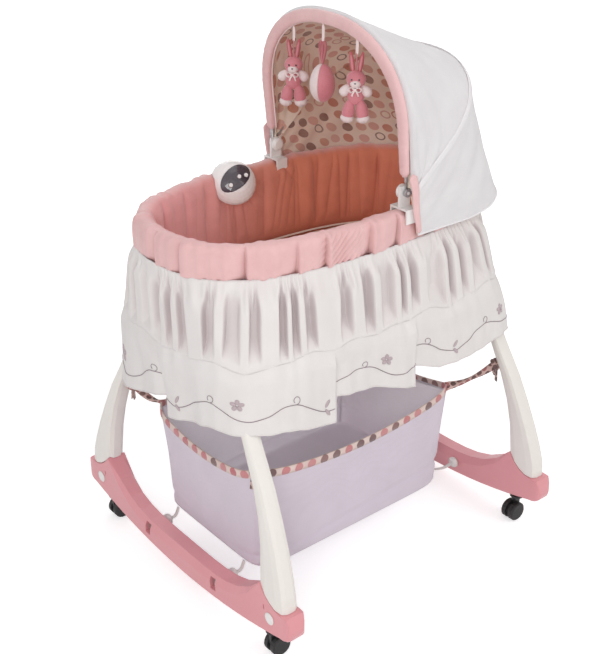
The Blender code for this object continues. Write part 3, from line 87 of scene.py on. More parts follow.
# How far in the mattress lies at heights above its foot
MATTRESS_LEVELS = ((0.012, 0.004), (0.004, 0.012), (0.0, 0.026), (0.004, 0.040), (0.012, 0.050))
SEEN_POINTS = 130
RIM_POINTS = 1200
TUCKS, CHANNELS, WRINKLES = 21, 25, 60
TUCK_DEPTH, TUCK_LIP = 0.0150, 0.0042
RUMPLE_X, RUMPLE_DEPTH = -0.13, 0.0016
PANEL_FOOT, PANEL_DEPTH = 0.652, 0.0062
WRINKLE_DEPTH, HOODED_DEPTH, DRAG_DEPTH = 0.0009, 0.0020, 0.0030
# Where the inner cloth is held and drags: the point's X and height, the folds' first and last angle,
# how closely they follow each other, and how far away they are deepest
FANS = (((-0.078, 0.812), 0.15, 1.9, 9.0, 0.062), ((0.020, 0.850), 0.5, 1.35, 7.0, 0.075))
# Where the padding's painted shade turns: round its section over the crown into the tub's shaded inside, and along
# X down its inside towards the deeper painted shade under the hood
CROWN_SHADE_TURN = (0.082, 0.112)
INSIDE_SHADE_TURN = (-0.26, 0.10)

# Skirt
SKIRT_TOP = 0.7608
SKIRT_HALF_LENGTH = 0.398
SKIRT_HALF_WIDTH = 0.238
SKIRT_EXPONENT = 6.0
SKIRT_FLARE_POWER = 0.62
SKIRT_INSET = 0.007
SKIRT_FOLDS = 17
SKIRT_FOLD_DEPTH = 0.005
SKIRT_GATHERS = 44
SKIRT_POINTS = 1300
GATHER_DEPTH = 0.0155
SEAM_SHARE = 0.53
VINE_REPEATS = 13
VINE_HEIGHT, VINE_SWING = 0.042, 0.013
CURL_FOOT, CURL_SIZE = 0.055, 0.009
FLOWER_HEIGHT, LEAF_HEIGHT = 0.066, 0.036
FLOWER_EYE = 0.0028
THREAD_RADIUS, CURL_RADIUS = 0.0009, 0.0007
THREAD_LIFT = 0.0011
HEM_MIDDLE = 0.462
HEM_HIGH = 0.492
HEM_LOW = 0.442
BAND_RISE = 0.0045
VALLEY_DEPTH = 0.0045
PLEAT_DEPTH = 0.011
SEAM_BEAD, SEAM_WAVE = 0.0006, 0.006
CUFF_DEPTH = 0.012
# The hem's height at places along it. It falls away to each pleat, steps back up there, and is
# gathered round the legs at the corners.
HEM_KEYS = (
    (0.398, 0.030, 0.445), (0.398, 0.036, 0.488), (0.352, 0.238, 0.470), (0.200, 0.238, 0.460),
    (0.100, 0.238, 0.442), (0.094, 0.238, 0.488), (-0.100, 0.238, 0.444), (-0.106, 0.238, 0.488),
    (-0.300, 0.238, 0.446), (-0.398, 0.170, 0.424), (-0.398, 0.100, 0.440), (-0.398, 0.005, 0.472),
    (-0.398, -0.001, 0.428), (-0.398, -0.080, 0.452), (-0.398, -0.150, 0.472), (-0.352, -0.238, 0.468),
    (-0.280, -0.238, 0.466), (-0.180, -0.238, 0.442), (-0.160, -0.238, 0.441), (-0.154, -0.238, 0.492),
    (-0.050, -0.238, 0.478), (0.055, -0.238, 0.442), (0.061, -0.238, 0.488), (0.130, -0.238, 0.461),
    (0.200, -0.238, 0.460), (0.352, -0.238, 0.472), (0.398, -0.120, 0.462),
)

# Hood
HINGE = Vector((0.044, 0.0, 0.862))
FRONT_ANGLE = math.radians(96)
REAR_ANGLE = math.radians(41)
BOW_EXPONENT = 2.3
FRONT_STRAIGHT, FRONT_RISE = 0.118, 0.191
REAR_STRAIGHT, REAR_RISE = 0.105, 0.216
FRONT_BOW_REACH = 0.2074
HOOD_FRONT_X = 0.0613
BINDING_WIDTH = 0.026
BINDING_FRONT = 0.011
BINDING_BACK = 0.006
BINDING_START = 0.034
HOOD_HALF_WIDTH = 0.2279
HOOD_HEM_Z = 0.776
HOOD_HEAD_X = 0.408
HOOD_HEAD_Z = 0.792
HOOD_CORNER_X = 0.205
HOOD_SETBACK = -0.0084
# How far the cloth's lines lie outside the bows', where they start above the hinge, and how far in
# from them the lining's ends are
FRONT_COVER, REAR_COVER = 0.0027, 0.0067
FRONT_START, REAR_START = 0.0068, 0.0104
LINING_MOUTH, LINING_INSET = 0.020, 0.0233
HOOD_COLUMNS = 181
FRONT_SLACK, REAR_SLACK, CREASE_DEPTH = 0.0035, 0.0030, 0.0022
FRONT_LINING_GAP, REAR_LINING_GAP = 0.0028, 0.0030
# The middle rays, in degrees, of the stretches of cloth between two bodies
FRONT_RAY, REAR_RAY = 68.5, 41

# Basket, ties and straps
BASKET_CENTRE_X = -0.034
BASKET_TOP_HALF = (0.288, 0.186)
BASKET_FLOOR_HALF = (0.270, 0.176)
BASKET_FLOOR_Z = 0.092
BASKET_TOP_Z = 0.350
BASKET_SAG = 0.034
BASKET_EXPONENT = 10.0
BAG_SLACK, BAG_CREASE, BAG_FOLD = 0.004, 0.0010, 0.0040
LEG_EDGE_X, LEG_EDGE_Y = 0.352, 0.2295
TIE_LEG_Z = 0.392
END_X = 0.3675
ROCKER_THICKNESS = 0.045
POCKET_REACH = 0.124
POCKET_Z = 0.074
STRAP_END_Z = 0.0935

# Toys, measured down from their pivots
TOY_PIVOTS = {
    "left": Vector((0.01526, 0.104, 1.13542)),
    "middle": Vector((0.01322, 0.011, 1.15489)),
    "right": Vector((0.01446, -0.087, 1.14309)),
}
BUNNY_YAW = math.radians(42)
EGG_HALF_WIDTH, EGG_HALF_HEIGHT, EGG_DROP = 0.0256, 0.0385, 0.078
# How far below its pivot a bunny's parts hang
HEAD_DROP, BOW_DROP, TORSO_DROP = 0.078, 0.0955, 0.108

ENDS = {"head": 1, "foot": -1}
SIDES = {"left": 1, "right": -1}
CORNERS = [(end, way, side, hand) for end, way in ENDS.items() for side, hand in SIDES.items()]
CORNER_TURNS = {(1, 1): 45, (-1, 1): 135, (-1, -1): 225, (1, -1): 315}


# Building meshes


def unit(vectors):
    """The same directions, each of length one."""
    return vectors / np.linalg.norm(vectors, axis=-1, keepdims=True)


def hump(off, width):
    """One at no distance, falling away to nothing."""
    return np.exp(-(off / width) ** 2)


def wrapped(lap):
    """A distance in laps, by the shorter way round."""
    return (lap + 0.5) % 1 - 0.5


def oval(half_length, half_width, exponent, centre_x, turn):
    """Points of a superellipse, each turn measured as on a plain ellipse."""
    along, across = np.cos(turn), np.sin(turn)
    size = (abs(along) ** exponent + abs(across) ** exponent) ** (-1 / exponent)
    return np.stack([centre_x + half_length * along * size, half_width * across * size], -1)


def outward(curve, turn):
    """Unit normals of a closed plan curve, pointing out."""
    step = 0.002
    along = unit(curve(turn + step) - curve(turn - step))
    return np.stack([along[..., 1], -along[..., 0]], -1)


def even_turns(curve, count):
    """Turns that divide a closed plan curve into equal lengths, and its whole length."""
    fine = np.linspace(0, 2 * math.pi, 4001)
    run = run_lengths(curve(fine))
    return np.interp(np.arange(count) / count * run[-1], run, fine), run[-1]


def run_lengths(line):
    return np.concatenate([[0.0], np.cumsum(np.linalg.norm(np.diff(line, axis=0), axis=1))])


def rail_line(turn):
    return oval(RAIL_HALF_LENGTH, RAIL_HALF_WIDTH, RIM_EXPONENT, TUB_CENTRE_X, turn)


def smooth_step(value):
    value = np.clip(value, 0.0, 1.0)
    return value * value * (3 - 2 * value)


def ripple(lap, waves, seed):
    """Smooth noise of about plus or minus one that closes after one lap."""
    chance = np.random.RandomState(seed)
    total = sum(np.sin(2 * math.pi * (wave * lap + chance.rand())) for wave in waves)
    return total / math.sqrt(len(waves))


def grid(points, columns_close=False, rows_close=False, caps=False):
    """A skin over rows of points, to be built by mesh_object."""
    return {"points": np.asarray(points, float), "columns": columns_close, "rows": rows_close, "caps": caps}


def closed_up(rows, part):
    """A grid's rows, with the first ones again after the last where it closes."""
    if part["rows"]:
        rows = np.concatenate([rows, rows[:1]])
    if part["columns"]:
        rows = np.concatenate([rows, rows[:, :1]], axis=1)
    return rows


def mesh_object(name, grids, closed_form=True):
    """One object over several grids, with UVs in metres along the rows and columns."""
    vertices, faces, uvs, base = [], [], [], 0
    for part in grids:
        points = part["points"]
        rows, columns = points.shape[:2]
        index = np.arange(rows * columns).reshape(rows, columns) + base
        wide, index_wide = closed_up(points, part), closed_up(index, part)
        across = max((run_lengths(row) for row in wide), key=lambda run: run[-1])
        down = run_lengths(wide[:, wide.shape[1] // 3])
        uv = part.get("uv", np.stack(np.meshgrid(across, down), -1))
        first, last = slice(None, -1), slice(1, None)
        corners = ((first, first), (first, last), (last, last), (last, first))
        faces += np.stack([index_wide[c] for c in corners], -1).reshape(-1, 4).tolist()
        uvs.append(np.stack([uv[c] for c in corners], 2).reshape(-1, 2))
        if part["caps"]:
            for row in (index[0][::-1], index[-1]):
                faces.append(row.tolist())
                uvs.append(np.zeros((columns, 2)))
        vertices.append(points.reshape(-1, 3))
        base += rows * columns
    mesh = bpy.data.meshes.new(name)
    mesh.from_pydata(np.concatenate(vertices).tolist(), [], faces)
    layer = mesh.uv_layers.new(name="UVMap")
    layer.data.foreach_set("uv", np.concatenate(uvs).astype(np.float32).ravel())
    if closed_form:
        bm = bmesh.new()
        bm.from_mesh(mesh)
        bmesh.ops.recalc_face_normals(bm, faces=bm.faces)
        bm.to_mesh(mesh)
        bm.free()
    mesh.shade_smooth()
    obj = bpy.data.objects.new(name, mesh)
    bpy.context.scene.collection.objects.link(obj)
    return obj


def swept(path, section, hint=(0, 0, 1), closed=False):
    """Rows of points: a flat section, or one for each point, carried along a path. Its second
    number lies as near as it can to the hint."""
    path = np.asarray(path, float)
    after = np.roll(path, -1, axis=0) if closed else np.vstack([path[1:], 2 * path[-1] - path[-2]])
    before = np.roll(path, 1, axis=0) if closed else np.vstack([2 * path[0] - path[1], path[:-1]])
    along = unit(after - before)
    side = unit(np.cross(along, np.broadcast_to(np.asarray(hint, float), path.shape)))
    up = np.cross(side, along)
    section = np.asarray(section, float)
    if section.ndim == 2:
        section = np.broadcast_to(section, (len(path), *section.shape))
    return path[:, None] + side[:, None] * section[..., :1] + up[:, None] * section[..., 1:]


def round_section(half_width, half_height, sides=12, exponent=2.0):
    return oval(half_width, half_height, exponent, 0.0, np.arange(sides) * 2 * math.pi / sides)


def tube(path, radius, sides=8, hint=(0, 0, 1), closed=False):
    """A round tube along a path, its radius the same or one for each point."""
    radius = np.broadcast_to(np.asarray(radius, float), (len(path),))
    section = round_section(1.0, 1.0, sides)[None] * radius[:, None, None]
    return grid(swept(path, section, hint, closed), True, closed, not closed)


def band(path, section, hint=(0, 0, 1)):
    """A strip along a path, closed at its ends."""
    return grid(swept(path, section, hint), True, False, True)


def sized_sections(sides, exponent, half_widths, half_heights):
    """A rounded section for each point of a path, each with its own half sizes."""
    return round_section(1.0, 1.0, sides, exponent)[None] * np.stack([half_widths, half_heights], -1)[:, None]


def evened(line, count):
    """The same line through evenly spaced points."""
    run = run_lengths(line)
    even = np.linspace(0, run[-1], count)
    return np.stack([np.interp(even, run, numbers) for numbers in line.T], -1)


def smooth_path(points, count):
    """A Catmull-Rom curve through points."""
    points = np.asarray(points, float)
    ends = np.vstack([2 * points[0] - points[1], points, 2 * points[-1] - points[-2]])
    spots = np.linspace(0, len(points) - 1 - 1e-9, count)
    first = spots.astype(int)
    t = (spots - first)[:, None]
    p0, p1, p2, p3 = (ends[first + k] for k in range(4))
    return 0.5 * (2 * p1 + (p2 - p0) * t + (2 * p0 - 5 * p1 + 4 * p2 - p3) * t**2
                  + (3 * p1 - p0 - 3 * p2 + p3) * t**3)


def blob(centre, radii, turn=None, swell=None, across=28, along=18, nap=0.0):
    """An ellipsoid which a function of its height may swell, with an uneven plush surface."""
    polar = np.linspace(0.03, math.pi - 0.03, along)
    lap = np.arange(across) * 2 * math.pi / across
    rows = []
    for angle in polar:
        height = math.cos(angle)
        wide = math.sin(angle) * (swell(height) if swell else 1.0)
        row = []
        for spot in lap:
            point = Vector((radii[0] * wide * math.cos(spot), radii[1] * wide * math.sin(spot), radii[2] * height))
            if nap:
                point *= 1 + nap * noise.noise(point * 260 + Vector(centre) * 40)
            row.append(Vector(centre) + (turn @ point if turn else point))
        rows.append(row)
    return grid(rows, True, False, True)


def dress(obj, finish, body, slot, *replaced):
    """Gives a piece its material, its body and the nodes it stands for. Its slot is not used."""
    obj.data.materials.clear()
    obj.data.materials.append(look[finish])
    if body:
        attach(obj, body)
    if replaced:
        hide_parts(*replaced)
    return obj


def piece(name, grids, finish, body, slot, *replaced):
    """Builds and dresses one piece."""
    return dress(mesh_object(name, grids), finish, body, slot, *replaced)


def thicken(obj, thickness, offset=0.0):
    solid = obj.modifiers.new("Cloth thickness", "SOLIDIFY")
    solid.thickness = thickness
    solid.offset = offset
    return obj


# Materials


def srgb(red, green, blue):
    """A colour given as it looks on a screen, from 0 to 255."""
    def linear(value):
        value /= 255
        return value / 12.92 if value <= 0.04045 else ((value + 0.055) / 1.055) ** 2.4
    return (linear(red), linear(green), linear(blue), 1.0)


def wire(node, inputs):
    """Links sockets to a node's inputs, or sets them to plain values."""
    for name, value in inputs.items():
        if isinstance(value, bpy.types.NodeSocket):
            node.id_data.links.new(value, node.inputs[name])
        else:
            node.inputs[name].default_value = value
    return node


def add(tree, kind, inputs=None, **settings):
    made = tree.nodes.new(kind)
    for name, value in settings.items():
        setattr(made, name, value)
    return wire(made, inputs or {})


def maths(tree, operation, first, second=0.0):
    return add(tree, "ShaderNodeMath", {0: first, 1: second}, operation=operation).outputs[0]


def blend_colour(tree, share, first, second, way="MIX"):
    inputs = {"Factor": share, 6: first, 7: second}
    return add(tree, "ShaderNodeMix", inputs, data_type="RGBA", blend_type=way).outputs[2]


def ranged(tree, value, low, high, to_low=0.0, to_high=1.0, kind="LINEAR"):
    return add(tree, "ShaderNodeMapRange", {
        "Value": value, "From Min": low, "From Max": high, "To Min": to_low, "To Max": to_high,
    }, interpolation_type=kind).outputs["Result"]


def speckle(tree, where, scale, detail=3.0, roughness=0.5):
    return add(tree, "ShaderNodeTexNoise", {
        "Vector": where, "Scale": scale, "Detail": detail, "Roughness": roughness,
    }).outputs["Fac"]


def bands(tree, where, period, direction):
    return add(tree, "ShaderNodeTexWave", {"Vector": where, "Scale": math.pi / 10 / period},
               bands_direction=direction).outputs["Fac"]


def split(tree, vector):
    return add(tree, "ShaderNodeSeparateXYZ", {"Vector": vector}).outputs


def place_of(tree, kind):
    return add(tree, "ShaderNodeTexCoord").outputs[kind]


def new_material(name, where="Object"):
    """A material, its tree, its shader and the places that its textures go by."""
    made = bpy.data.materials.new(name)
    made.use_nodes = True
    tree = made.node_tree
    return made, tree, tree.nodes["Principled BSDF"], place_of(tree, where)


def raised(tree, height, strength, distance, **more):
    inputs = {"Height": height, "Strength": strength, "Distance": distance, **more}
    return add(tree, "ShaderNodeBump", inputs).outputs["Normal"]


def painted_crease_shade(tree, reach=0.035, most=1.0):
    """A share of painted shade from ambient occlusion: the most deep in a fold, and nothing out on its crest."""
    open_ = add(tree, "ShaderNodeAmbientOcclusion", {"Distance": reach}, samples=6).outputs["AO"]
    return ranged(tree, open_, 0.93, 0.45, 0.0, most)


def cloth(name, colour, shade, weave=0.0012, bump=0.35, sheen=0.25, where="UV", pattern=None, roughness=0.85,
          hollow=None, sheer=0.0):
    """A plain woven cloth: crossed threads, uneven yarn, a slow change of tone and perhaps a print.
    Its hollows may take a painted shade colour, and a sheer one lets light through."""
    made, tree, shader, place = new_material(name, where)
    base = pattern(tree, place) if pattern else colour
    # painted shade: the hollow colour is blended into the folds by ambient occlusion
    if hollow:
        base = blend_colour(tree, painted_crease_shade(tree), base, hollow)
    tone = ranged(tree, speckle(tree, place, 14.0, 4.0), 0.35, 0.75, 0.0, MOTTLE)
    yarn = ranged(tree, speckle(tree, place, 900.0, 2.0), 0.3, 0.8, 0.0, MOTTLE * 0.5)
    toned = blend_colour(tree, maths(tree, "ADD", tone, yarn), base, shade)
    threads = maths(tree, "MULTIPLY", bands(tree, place, weave, "X"), bands(tree, place, weave, "Y"))
    gaps = ranged(tree, threads, 0.0, 0.35, MOTTLE * 0.4, 0.0)
    height = maths(tree, "ADD", threads, maths(tree, "MULTIPLY", yarn, 1.5))
    wire(shader, {
        "Base Color": blend_colour(tree, gaps, toned, shade),
        "Roughness": ranged(tree, tone, 0.0, MOTTLE, roughness, roughness - 0.1),
        "Normal": raised(tree, height, bump, 0.0006),
        "Sheen Weight": sheen, "Sheen Roughness": 0.5,
    })
    if sheer:
        wire(shader, {"Subsurface Weight": sheer, "Subsurface Radius": (1.0, 1.0, 1.0), "Subsurface Scale": 0.01})
    return made


def pile(name, colour, shade, sheen=0.7, grain=700.0, bump=0.5, pattern=None):
    """Velour or plush: a short uneven nap that is paler where it catches the light. Over a pattern,
    the shade is what the pattern's colours are multiplied by, and painted shade darkens its creases too."""
    made, tree, shader, place = new_material(name)
    base = colour
    if pattern:
        # painted shade: the pattern is multiplied darker in creases found by ambient occlusion
        crease = painted_crease_shade(tree, 0.013, 0.9)
        base = blend_colour(tree, crease, pattern(tree, place), (0.52, 0.34, 0.32, 1.0), "MULTIPLY")
        shade = blend_colour(tree, 1.0, base, shade, "MULTIPLY")
    patches = ranged(tree, speckle(tree, place, 26.0, 5.0, 0.6), 0.3, 0.75, 0.0, 0.5)
    nap = speckle(tree, place, grain, 3.0, 0.7)
    toned = blend_colour(tree, patches, base, shade)
    wire(shader, {
        "Base Color": blend_colour(tree, ranged(tree, nap, 0.3, 0.8, 0.35, 0.0), toned, shade),
        "Roughness": ranged(tree, nap, 0.2, 0.8, 0.95, 0.8),
        "Normal": raised(tree, nap, bump, 0.0012),
        "Sheen Weight": sheen, "Sheen Roughness": 0.35, "Sheen Tint": (1.0, 0.93, 0.93, 1.0),
    })
    return made


def plastic(name, colour, worn, roughness=0.42, grain=0.06, edge=0.0015, coat=0.0):
    """Moulded plastic: a fine skin texture, faint flow marks, rubbed high spots and softened edges."""
    made, tree, shader, place = new_material(name)
    flow = ranged(tree, speckle(tree, place, 7.0, 4.0, 0.6), 0.35, 0.8, 0.0, 0.22)
    scuff = ranged(tree, speckle(tree, place, 60.0, 8.0, 0.75), 0.6, 0.85, 0.0, 0.3)
    skin = speckle(tree, place, 1100.0, 2.0)
    matt = ranged(tree, skin, 0.3, 0.7, roughness - 0.04, roughness + 0.05)
    soft = add(tree, "ShaderNodeBevel", {"Radius": edge}, samples=4).outputs["Normal"]
    wire(shader, {
        "Base Color": blend_colour(tree, maths(tree, "ADD", flow, scuff), colour, worn),
        "Roughness": maths(tree, "ADD", matt, maths(tree, "MULTIPLY", scuff, 0.4)),
        "Normal": raised(tree, skin, grain, 0.0008, Normal=soft),
    })
    if coat:
        wire(shader, {"Coat Weight": coat, "Coat Roughness": 0.12})
    return made


def metal(name, colour, roughness=0.3):
    """Drawn wire: a fine grain and a few dull spots."""
    made, tree, shader, place = new_material(name)
    dull = ranged(tree, speckle(tree, place, 90.0, 6.0, 0.7), 0.4, 0.8, 0.0, 0.5)
    wire(shader, {
        "Base Color": blend_colour(tree, dull, colour, srgb(120, 118, 116)),
        "Roughness": ranged(tree, dull, 0.0, 0.5, roughness, roughness + 0.25),
        "Normal": raised(tree, speckle(tree, place, 1500.0, 2.0), 0.08, 0.0005),
        "Metallic": 1.0,
    })
    return made


def picked(tree, chance, palette):
    """One of several colours, by a random number from zero to one."""
    ramp = add(tree, "ShaderNodeValToRGB", {"Fac": chance})
    ramp.color_ramp.interpolation = "CONSTANT"
    stops = ramp.color_ramp.elements
    stops[0].color = palette[0]
    stops.remove(stops[1])
    for i, colour in enumerate(palette[1:], 1):
        stops.new(i / len(palette)).color = colour
    return ramp.outputs["Color"]


def uneven(tree, place, away, scale, most):
    """Distances from the dots' middles, shaken a little so that no dot is quite round."""
    shake = ranged(tree, speckle(tree, place, scale, 1.0), 0.0, 1.0, -most, most)
    return maths(tree, "ADD", away, shake)


def dots(cell, size, ground, palette, randomness, rings=0.0):
    """A print of dots of several colours, of which a share may be rings."""
    def paint(tree, place):
        inputs = {"Vector": place, "Scale": 1 / cell, "Randomness": randomness}
        cells = add(tree, "ShaderNodeTexVoronoi", inputs, voronoi_dimensions="2D")
        away = uneven(tree, place, cells.outputs["Distance"], 2.2 / cell, 0.04)
        chance = add(tree, "ShaderNodeSeparateColor", {"Color": cells.outputs["Color"]}).outputs
        inside = ranged(tree, away, size, size - 0.04)
        if rings:
            hollow = ranged(tree, away, size * 0.72, size * 0.72 - 0.04)
            ringed = maths(tree, "GREATER_THAN", rings, chance[1])
            inside = maths(tree, "SUBTRACT", inside, maths(tree, "MULTIPLY", hollow, ringed))
        return blend_colour(tree, inside, ground, picked(tree, chance[0], palette))
    return paint


def painted_inside_shade(outer, foot, head):
    """The pale outer side of the padding, which turns over the crown into painted shade on the inside, warmer and
    deeper towards the head end under the hood.
    """
    def paint(tree, place):
        along = ranged(tree, split(tree, place_of(tree, "Object"))[0], *INSIDE_SHADE_TURN, kind="SMOOTHSTEP")
        over = ranged(tree, split(tree, place_of(tree, "UV"))[0], *CROWN_SHADE_TURN, kind="SMOOTHSTEP")
        return blend_colour(tree, over, outer, blend_colour(tree, along, foot, head))
    return paint


def dot_row(pitch, size, middles, ground, palette):
    """A print of one row of dots along a band, on its outer and its inner face."""
    def paint(tree, place):
        across, run = split(tree, place)[:2]
        run = maths(tree, "DIVIDE", run, pitch)
        along = maths(tree, "SUBTRACT", maths(tree, "FRACT", run), 0.5)
        offs = [maths(tree, "ABSOLUTE", maths(tree, "SUBTRACT", across, middle)) for middle in middles]
        across = maths(tree, "DIVIDE", maths(tree, "MINIMUM", *offs), pitch)
        squares = [maths(tree, "MULTIPLY", off, off) for off in (along, across)]
        away = uneven(tree, place, maths(tree, "SQRT", maths(tree, "ADD", *squares)), 2.0 / pitch, 0.05)
        chance = add(tree, "ShaderNodeTexWhiteNoise", {"W": maths(tree, "FLOOR", run)}, noise_dimensions="1D")
        return blend_colour(tree, ranged(tree, away, size, size - 0.04), ground,
                            picked(tree, chance.outputs["Value"], palette))
    return paint


WHITE_CLOTH = srgb(237, 233, 231)
DOT_PALETTE = (srgb(118, 70, 66), srgb(204, 118, 98), srgb(226, 160, 148), srgb(206, 128, 104),
               srgb(218, 160, 144), srgb(110, 68, 64))
RIBBON_PALETTE = (srgb(96, 72, 74), srgb(206, 118, 124), srgb(214, 134, 138),
                  srgb(200, 108, 116), srgb(118, 84, 84))
TIE_PALETTE = (srgb(92, 70, 68), srgb(124, 94, 88), srgb(104, 78, 76), srgb(176, 112, 112))
LINING_GROUND = srgb(255, 234, 214)

look = {
    "rocker": plastic("rocker_pink", srgb(226, 152, 158), srgb(236, 178, 182), 0.38),
    "leg": plastic("leg_ivory", srgb(238, 233, 227), srgb(219, 212, 204), 0.42),
    "white": plastic("white_moulding", srgb(240, 237, 235), srgb(214, 209, 206), 0.38, edge=0.0008),
    "caster": plastic("caster_black", srgb(26, 25, 26), srgb(58, 55, 56), 0.45, edge=0.0008),
    "wheel": plastic("wheel_rubber", srgb(22, 21, 22), srgb(52, 49, 49), 0.62, 0.2, edge=0.0008),
    "tube": plastic("painted_tube", srgb(232, 229, 226), srgb(205, 200, 196), 0.35),
    "board": cloth("board_card", srgb(196, 172, 142), srgb(150, 124, 96), 0.004, 0.1, 0.0, where="Object"),
    "steel": metal("bow_steel", srgb(196, 196, 198)),
    "housing": plastic("housing_gloss", srgb(244, 239, 238), srgb(226, 218, 216), 0.22, 0.02, 0.001, 0.5),
    "panel": plastic("panel_gloss", srgb(72, 65, 73), srgb(98, 88, 96), 0.25, 0.02, 0.0006, 0.4),
    "button": plastic("button_white", srgb(245, 242, 241), srgb(220, 215, 212), 0.3, edge=0.0006),
    # painted shade: the skirt's hollow colour greys the gathers' valleys
    "skirt": cloth("skirt_cloth", WHITE_CLOTH, srgb(222, 212, 210), 0.0011, 0.3, hollow=srgb(196, 182, 184)),
    "panel_cloth": cloth("skirt_panel", WHITE_CLOTH, srgb(222, 213, 211), 0.0011, 0.3),
    "hood": cloth("hood_cloth", srgb(246, 243, 244), srgb(226, 219, 224), 0.001, 0.25, sheer=0.3),
    "lining": cloth("hood_lining", LINING_GROUND, srgb(238, 206, 184), 0.001, 0.25, sheer=0.4,
                    pattern=dots(0.032, 0.37, LINING_GROUND, DOT_PALETTE, 0.35, 0.2)),
    # painted shade: the inside colours, the foot end's and the deeper, warmer head end's, stand in for shade inside
    # the tub and under the hood
    "padding": pile("padding_velour", None, (0.80, 0.70, 0.70, 1.0), 0.5,
                    pattern=painted_inside_shade(srgb(242, 200, 199), srgb(236, 172, 172), srgb(228, 144, 116))),
    "velour": pile("rim_velour", srgb(242, 204, 203), srgb(224, 176, 177)),
    "mattress": cloth("mattress_cloth", srgb(255, 246, 234), srgb(242, 224, 208), 0.0014, 0.3, where="Object"),
    "basket": cloth("basket_cloth", srgb(228, 214, 232), srgb(212, 200, 214), 0.0013, 0.3, where="Object",
                    sheer=0.6),
    # painted light: the bag's inside is the same cloth painted paler, standing in for light that the tub above
    # keeps out
    "basket_inside_painted_light": cloth("basket_inside_painted_light", srgb(248, 234, 252), srgb(236, 222, 242), 0.0013, 0.3,
                           where="Object", sheer=0.8),
    "trim": cloth("dotted_trim", None, srgb(196, 156, 152), 0.0008, 0.3,
                  pattern=dot_row(0.034, 0.33, (0.0111, 0.0330), srgb(240, 222, 214), RIBBON_PALETTE)),
    "ribbon": cloth("dotted_ribbon", None, srgb(120, 88, 86), 0.0008, 0.3,
                    pattern=dots(0.017, 0.42, srgb(226, 192, 184), TIE_PALETTE, 0.2)),
    "webbing": cloth("white_webbing", srgb(238, 233, 230), srgb(200, 192, 190), 0.0016, 0.6, where="Object"),
    "toggle": cloth("toggle_webbing", srgb(150, 122, 116), srgb(96, 66, 66), 0.0016, 0.7, where="Object"),
    "plush_pink": pile("plush_pink", srgb(228, 150, 158), srgb(196, 108, 120), 0.6, 420.0, 0.8),
    "plush_rose": pile("plush_rose", srgb(206, 112, 118), srgb(164, 76, 84), 0.5, 420.0, 0.8),
    "plush_white": pile("plush_white", srgb(247, 234, 232), srgb(220, 196, 196), 0.5, 420.0, 0.8),
    "satin": cloth("satin_ribbon", srgb(248, 232, 230), srgb(222, 190, 190), 0.0006, 0.2, 0.1, roughness=0.45),
    "rose_satin": cloth("rose_satin", srgb(212, 136, 142), srgb(176, 96, 104), 0.0006, 0.2, 0.1, roughness=0.45),
    "thread": cloth("vine_thread", srgb(158, 140, 146), srgb(110, 92, 100), 0.0007, 0.5),
    "petal": cloth("petal_thread", srgb(206, 188, 192), srgb(160, 138, 146), 0.0007, 0.5),
    "black": plastic("black_bead", srgb(20, 16, 18), srgb(50, 44, 46), 0.15, 0.01, 0.0004, 0.8),
}


# Camera, floor and light


def make_camera():
    flat = math.cos(CAMERA_ELEVATION)
    back = Vector((math.sin(CAMERA_AZIMUTH) * flat, -math.cos(CAMERA_AZIMUTH) * flat, math.sin(CAMERA_ELEVATION)))
    level = (-back).cross(Vector((0, 0, 1))).normalized()
    above = level.cross(-back)
    right = level * math.cos(CAMERA_ROLL) + above * math.sin(CAMERA_ROLL)
    up = above * math.cos(CAMERA_ROLL) - level * math.sin(CAMERA_ROLL)
    data = bpy.data.cameras.new("camera")
    data.sensor_width = SENSOR
    data.lens = FOCAL_PIXELS * SENSOR / IMAGE_HEIGHT
    camera = bpy.data.objects.new("camera", data)
    camera.matrix_world = Matrix((right, up, back)).transposed().to_4x4()
    camera.location = CAMERA_TARGET + back * CAMERA_DISTANCE
    bpy.context.scene.collection.objects.link(camera)
    bpy.context.scene.camera = camera


def seen_or_mirrored(tree):
    """One where a ray comes from the camera, a reflection or glass."""
    path = add(tree, "ShaderNodeLightPath")
    both = maths(tree, "MAXIMUM", path.outputs["Is Camera Ray"], path.outputs["Is Glossy Ray"])
    return maths(tree, "MAXIMUM", both, path.outputs["Is Transmission Ray"])


def make_stage():
    """A pale floor and backdrop, which shine for the camera and give the cradle less light."""
    ends = (-FLOOR_REACH, FLOOR_REACH)
    floor = mesh_object("floor", [grid([[(x, y, 0) for x in ends] for y in ends])], False)
    made, tree, shader, place = new_material("pale_floor")
    tone = ranged(tree, speckle(tree, place, 1.5, 3.0), 0.3, 0.7, 0.0, 0.3)
    away = add(tree, "ShaderNodeVectorMath", {0: place}, operation="LENGTH").outputs["Value"]
    glow = ranged(tree, away, 0.75, 1.7, 0.5, 0.9, "SMOOTHSTEP")
    wire(shader, {
        "Base Color": blend_colour(tree, tone, (0.86, 0.86, 0.86, 1), (0.84, 0.84, 0.84, 1)),
        "Roughness": 0.95, "Specular IOR Level": 0.0,
        "Emission Color": (1, 1, 1, 1), "Emission Strength": maths(tree, "MULTIPLY", seen_or_mirrored(tree), glow),
    })
    floor.data.materials.append(made)
    world = bpy.data.worlds.new("studio")
    world.use_nodes = True
    tree = world.node_tree
    strength = ranged(tree, seen_or_mirrored(tree), 0.0, 1.0, 0.5, 1.0)
    wire(tree.nodes["Background"], {"Color": (1, 1, 1, 1), "Strength": strength})
    bpy.context.scene.world = world


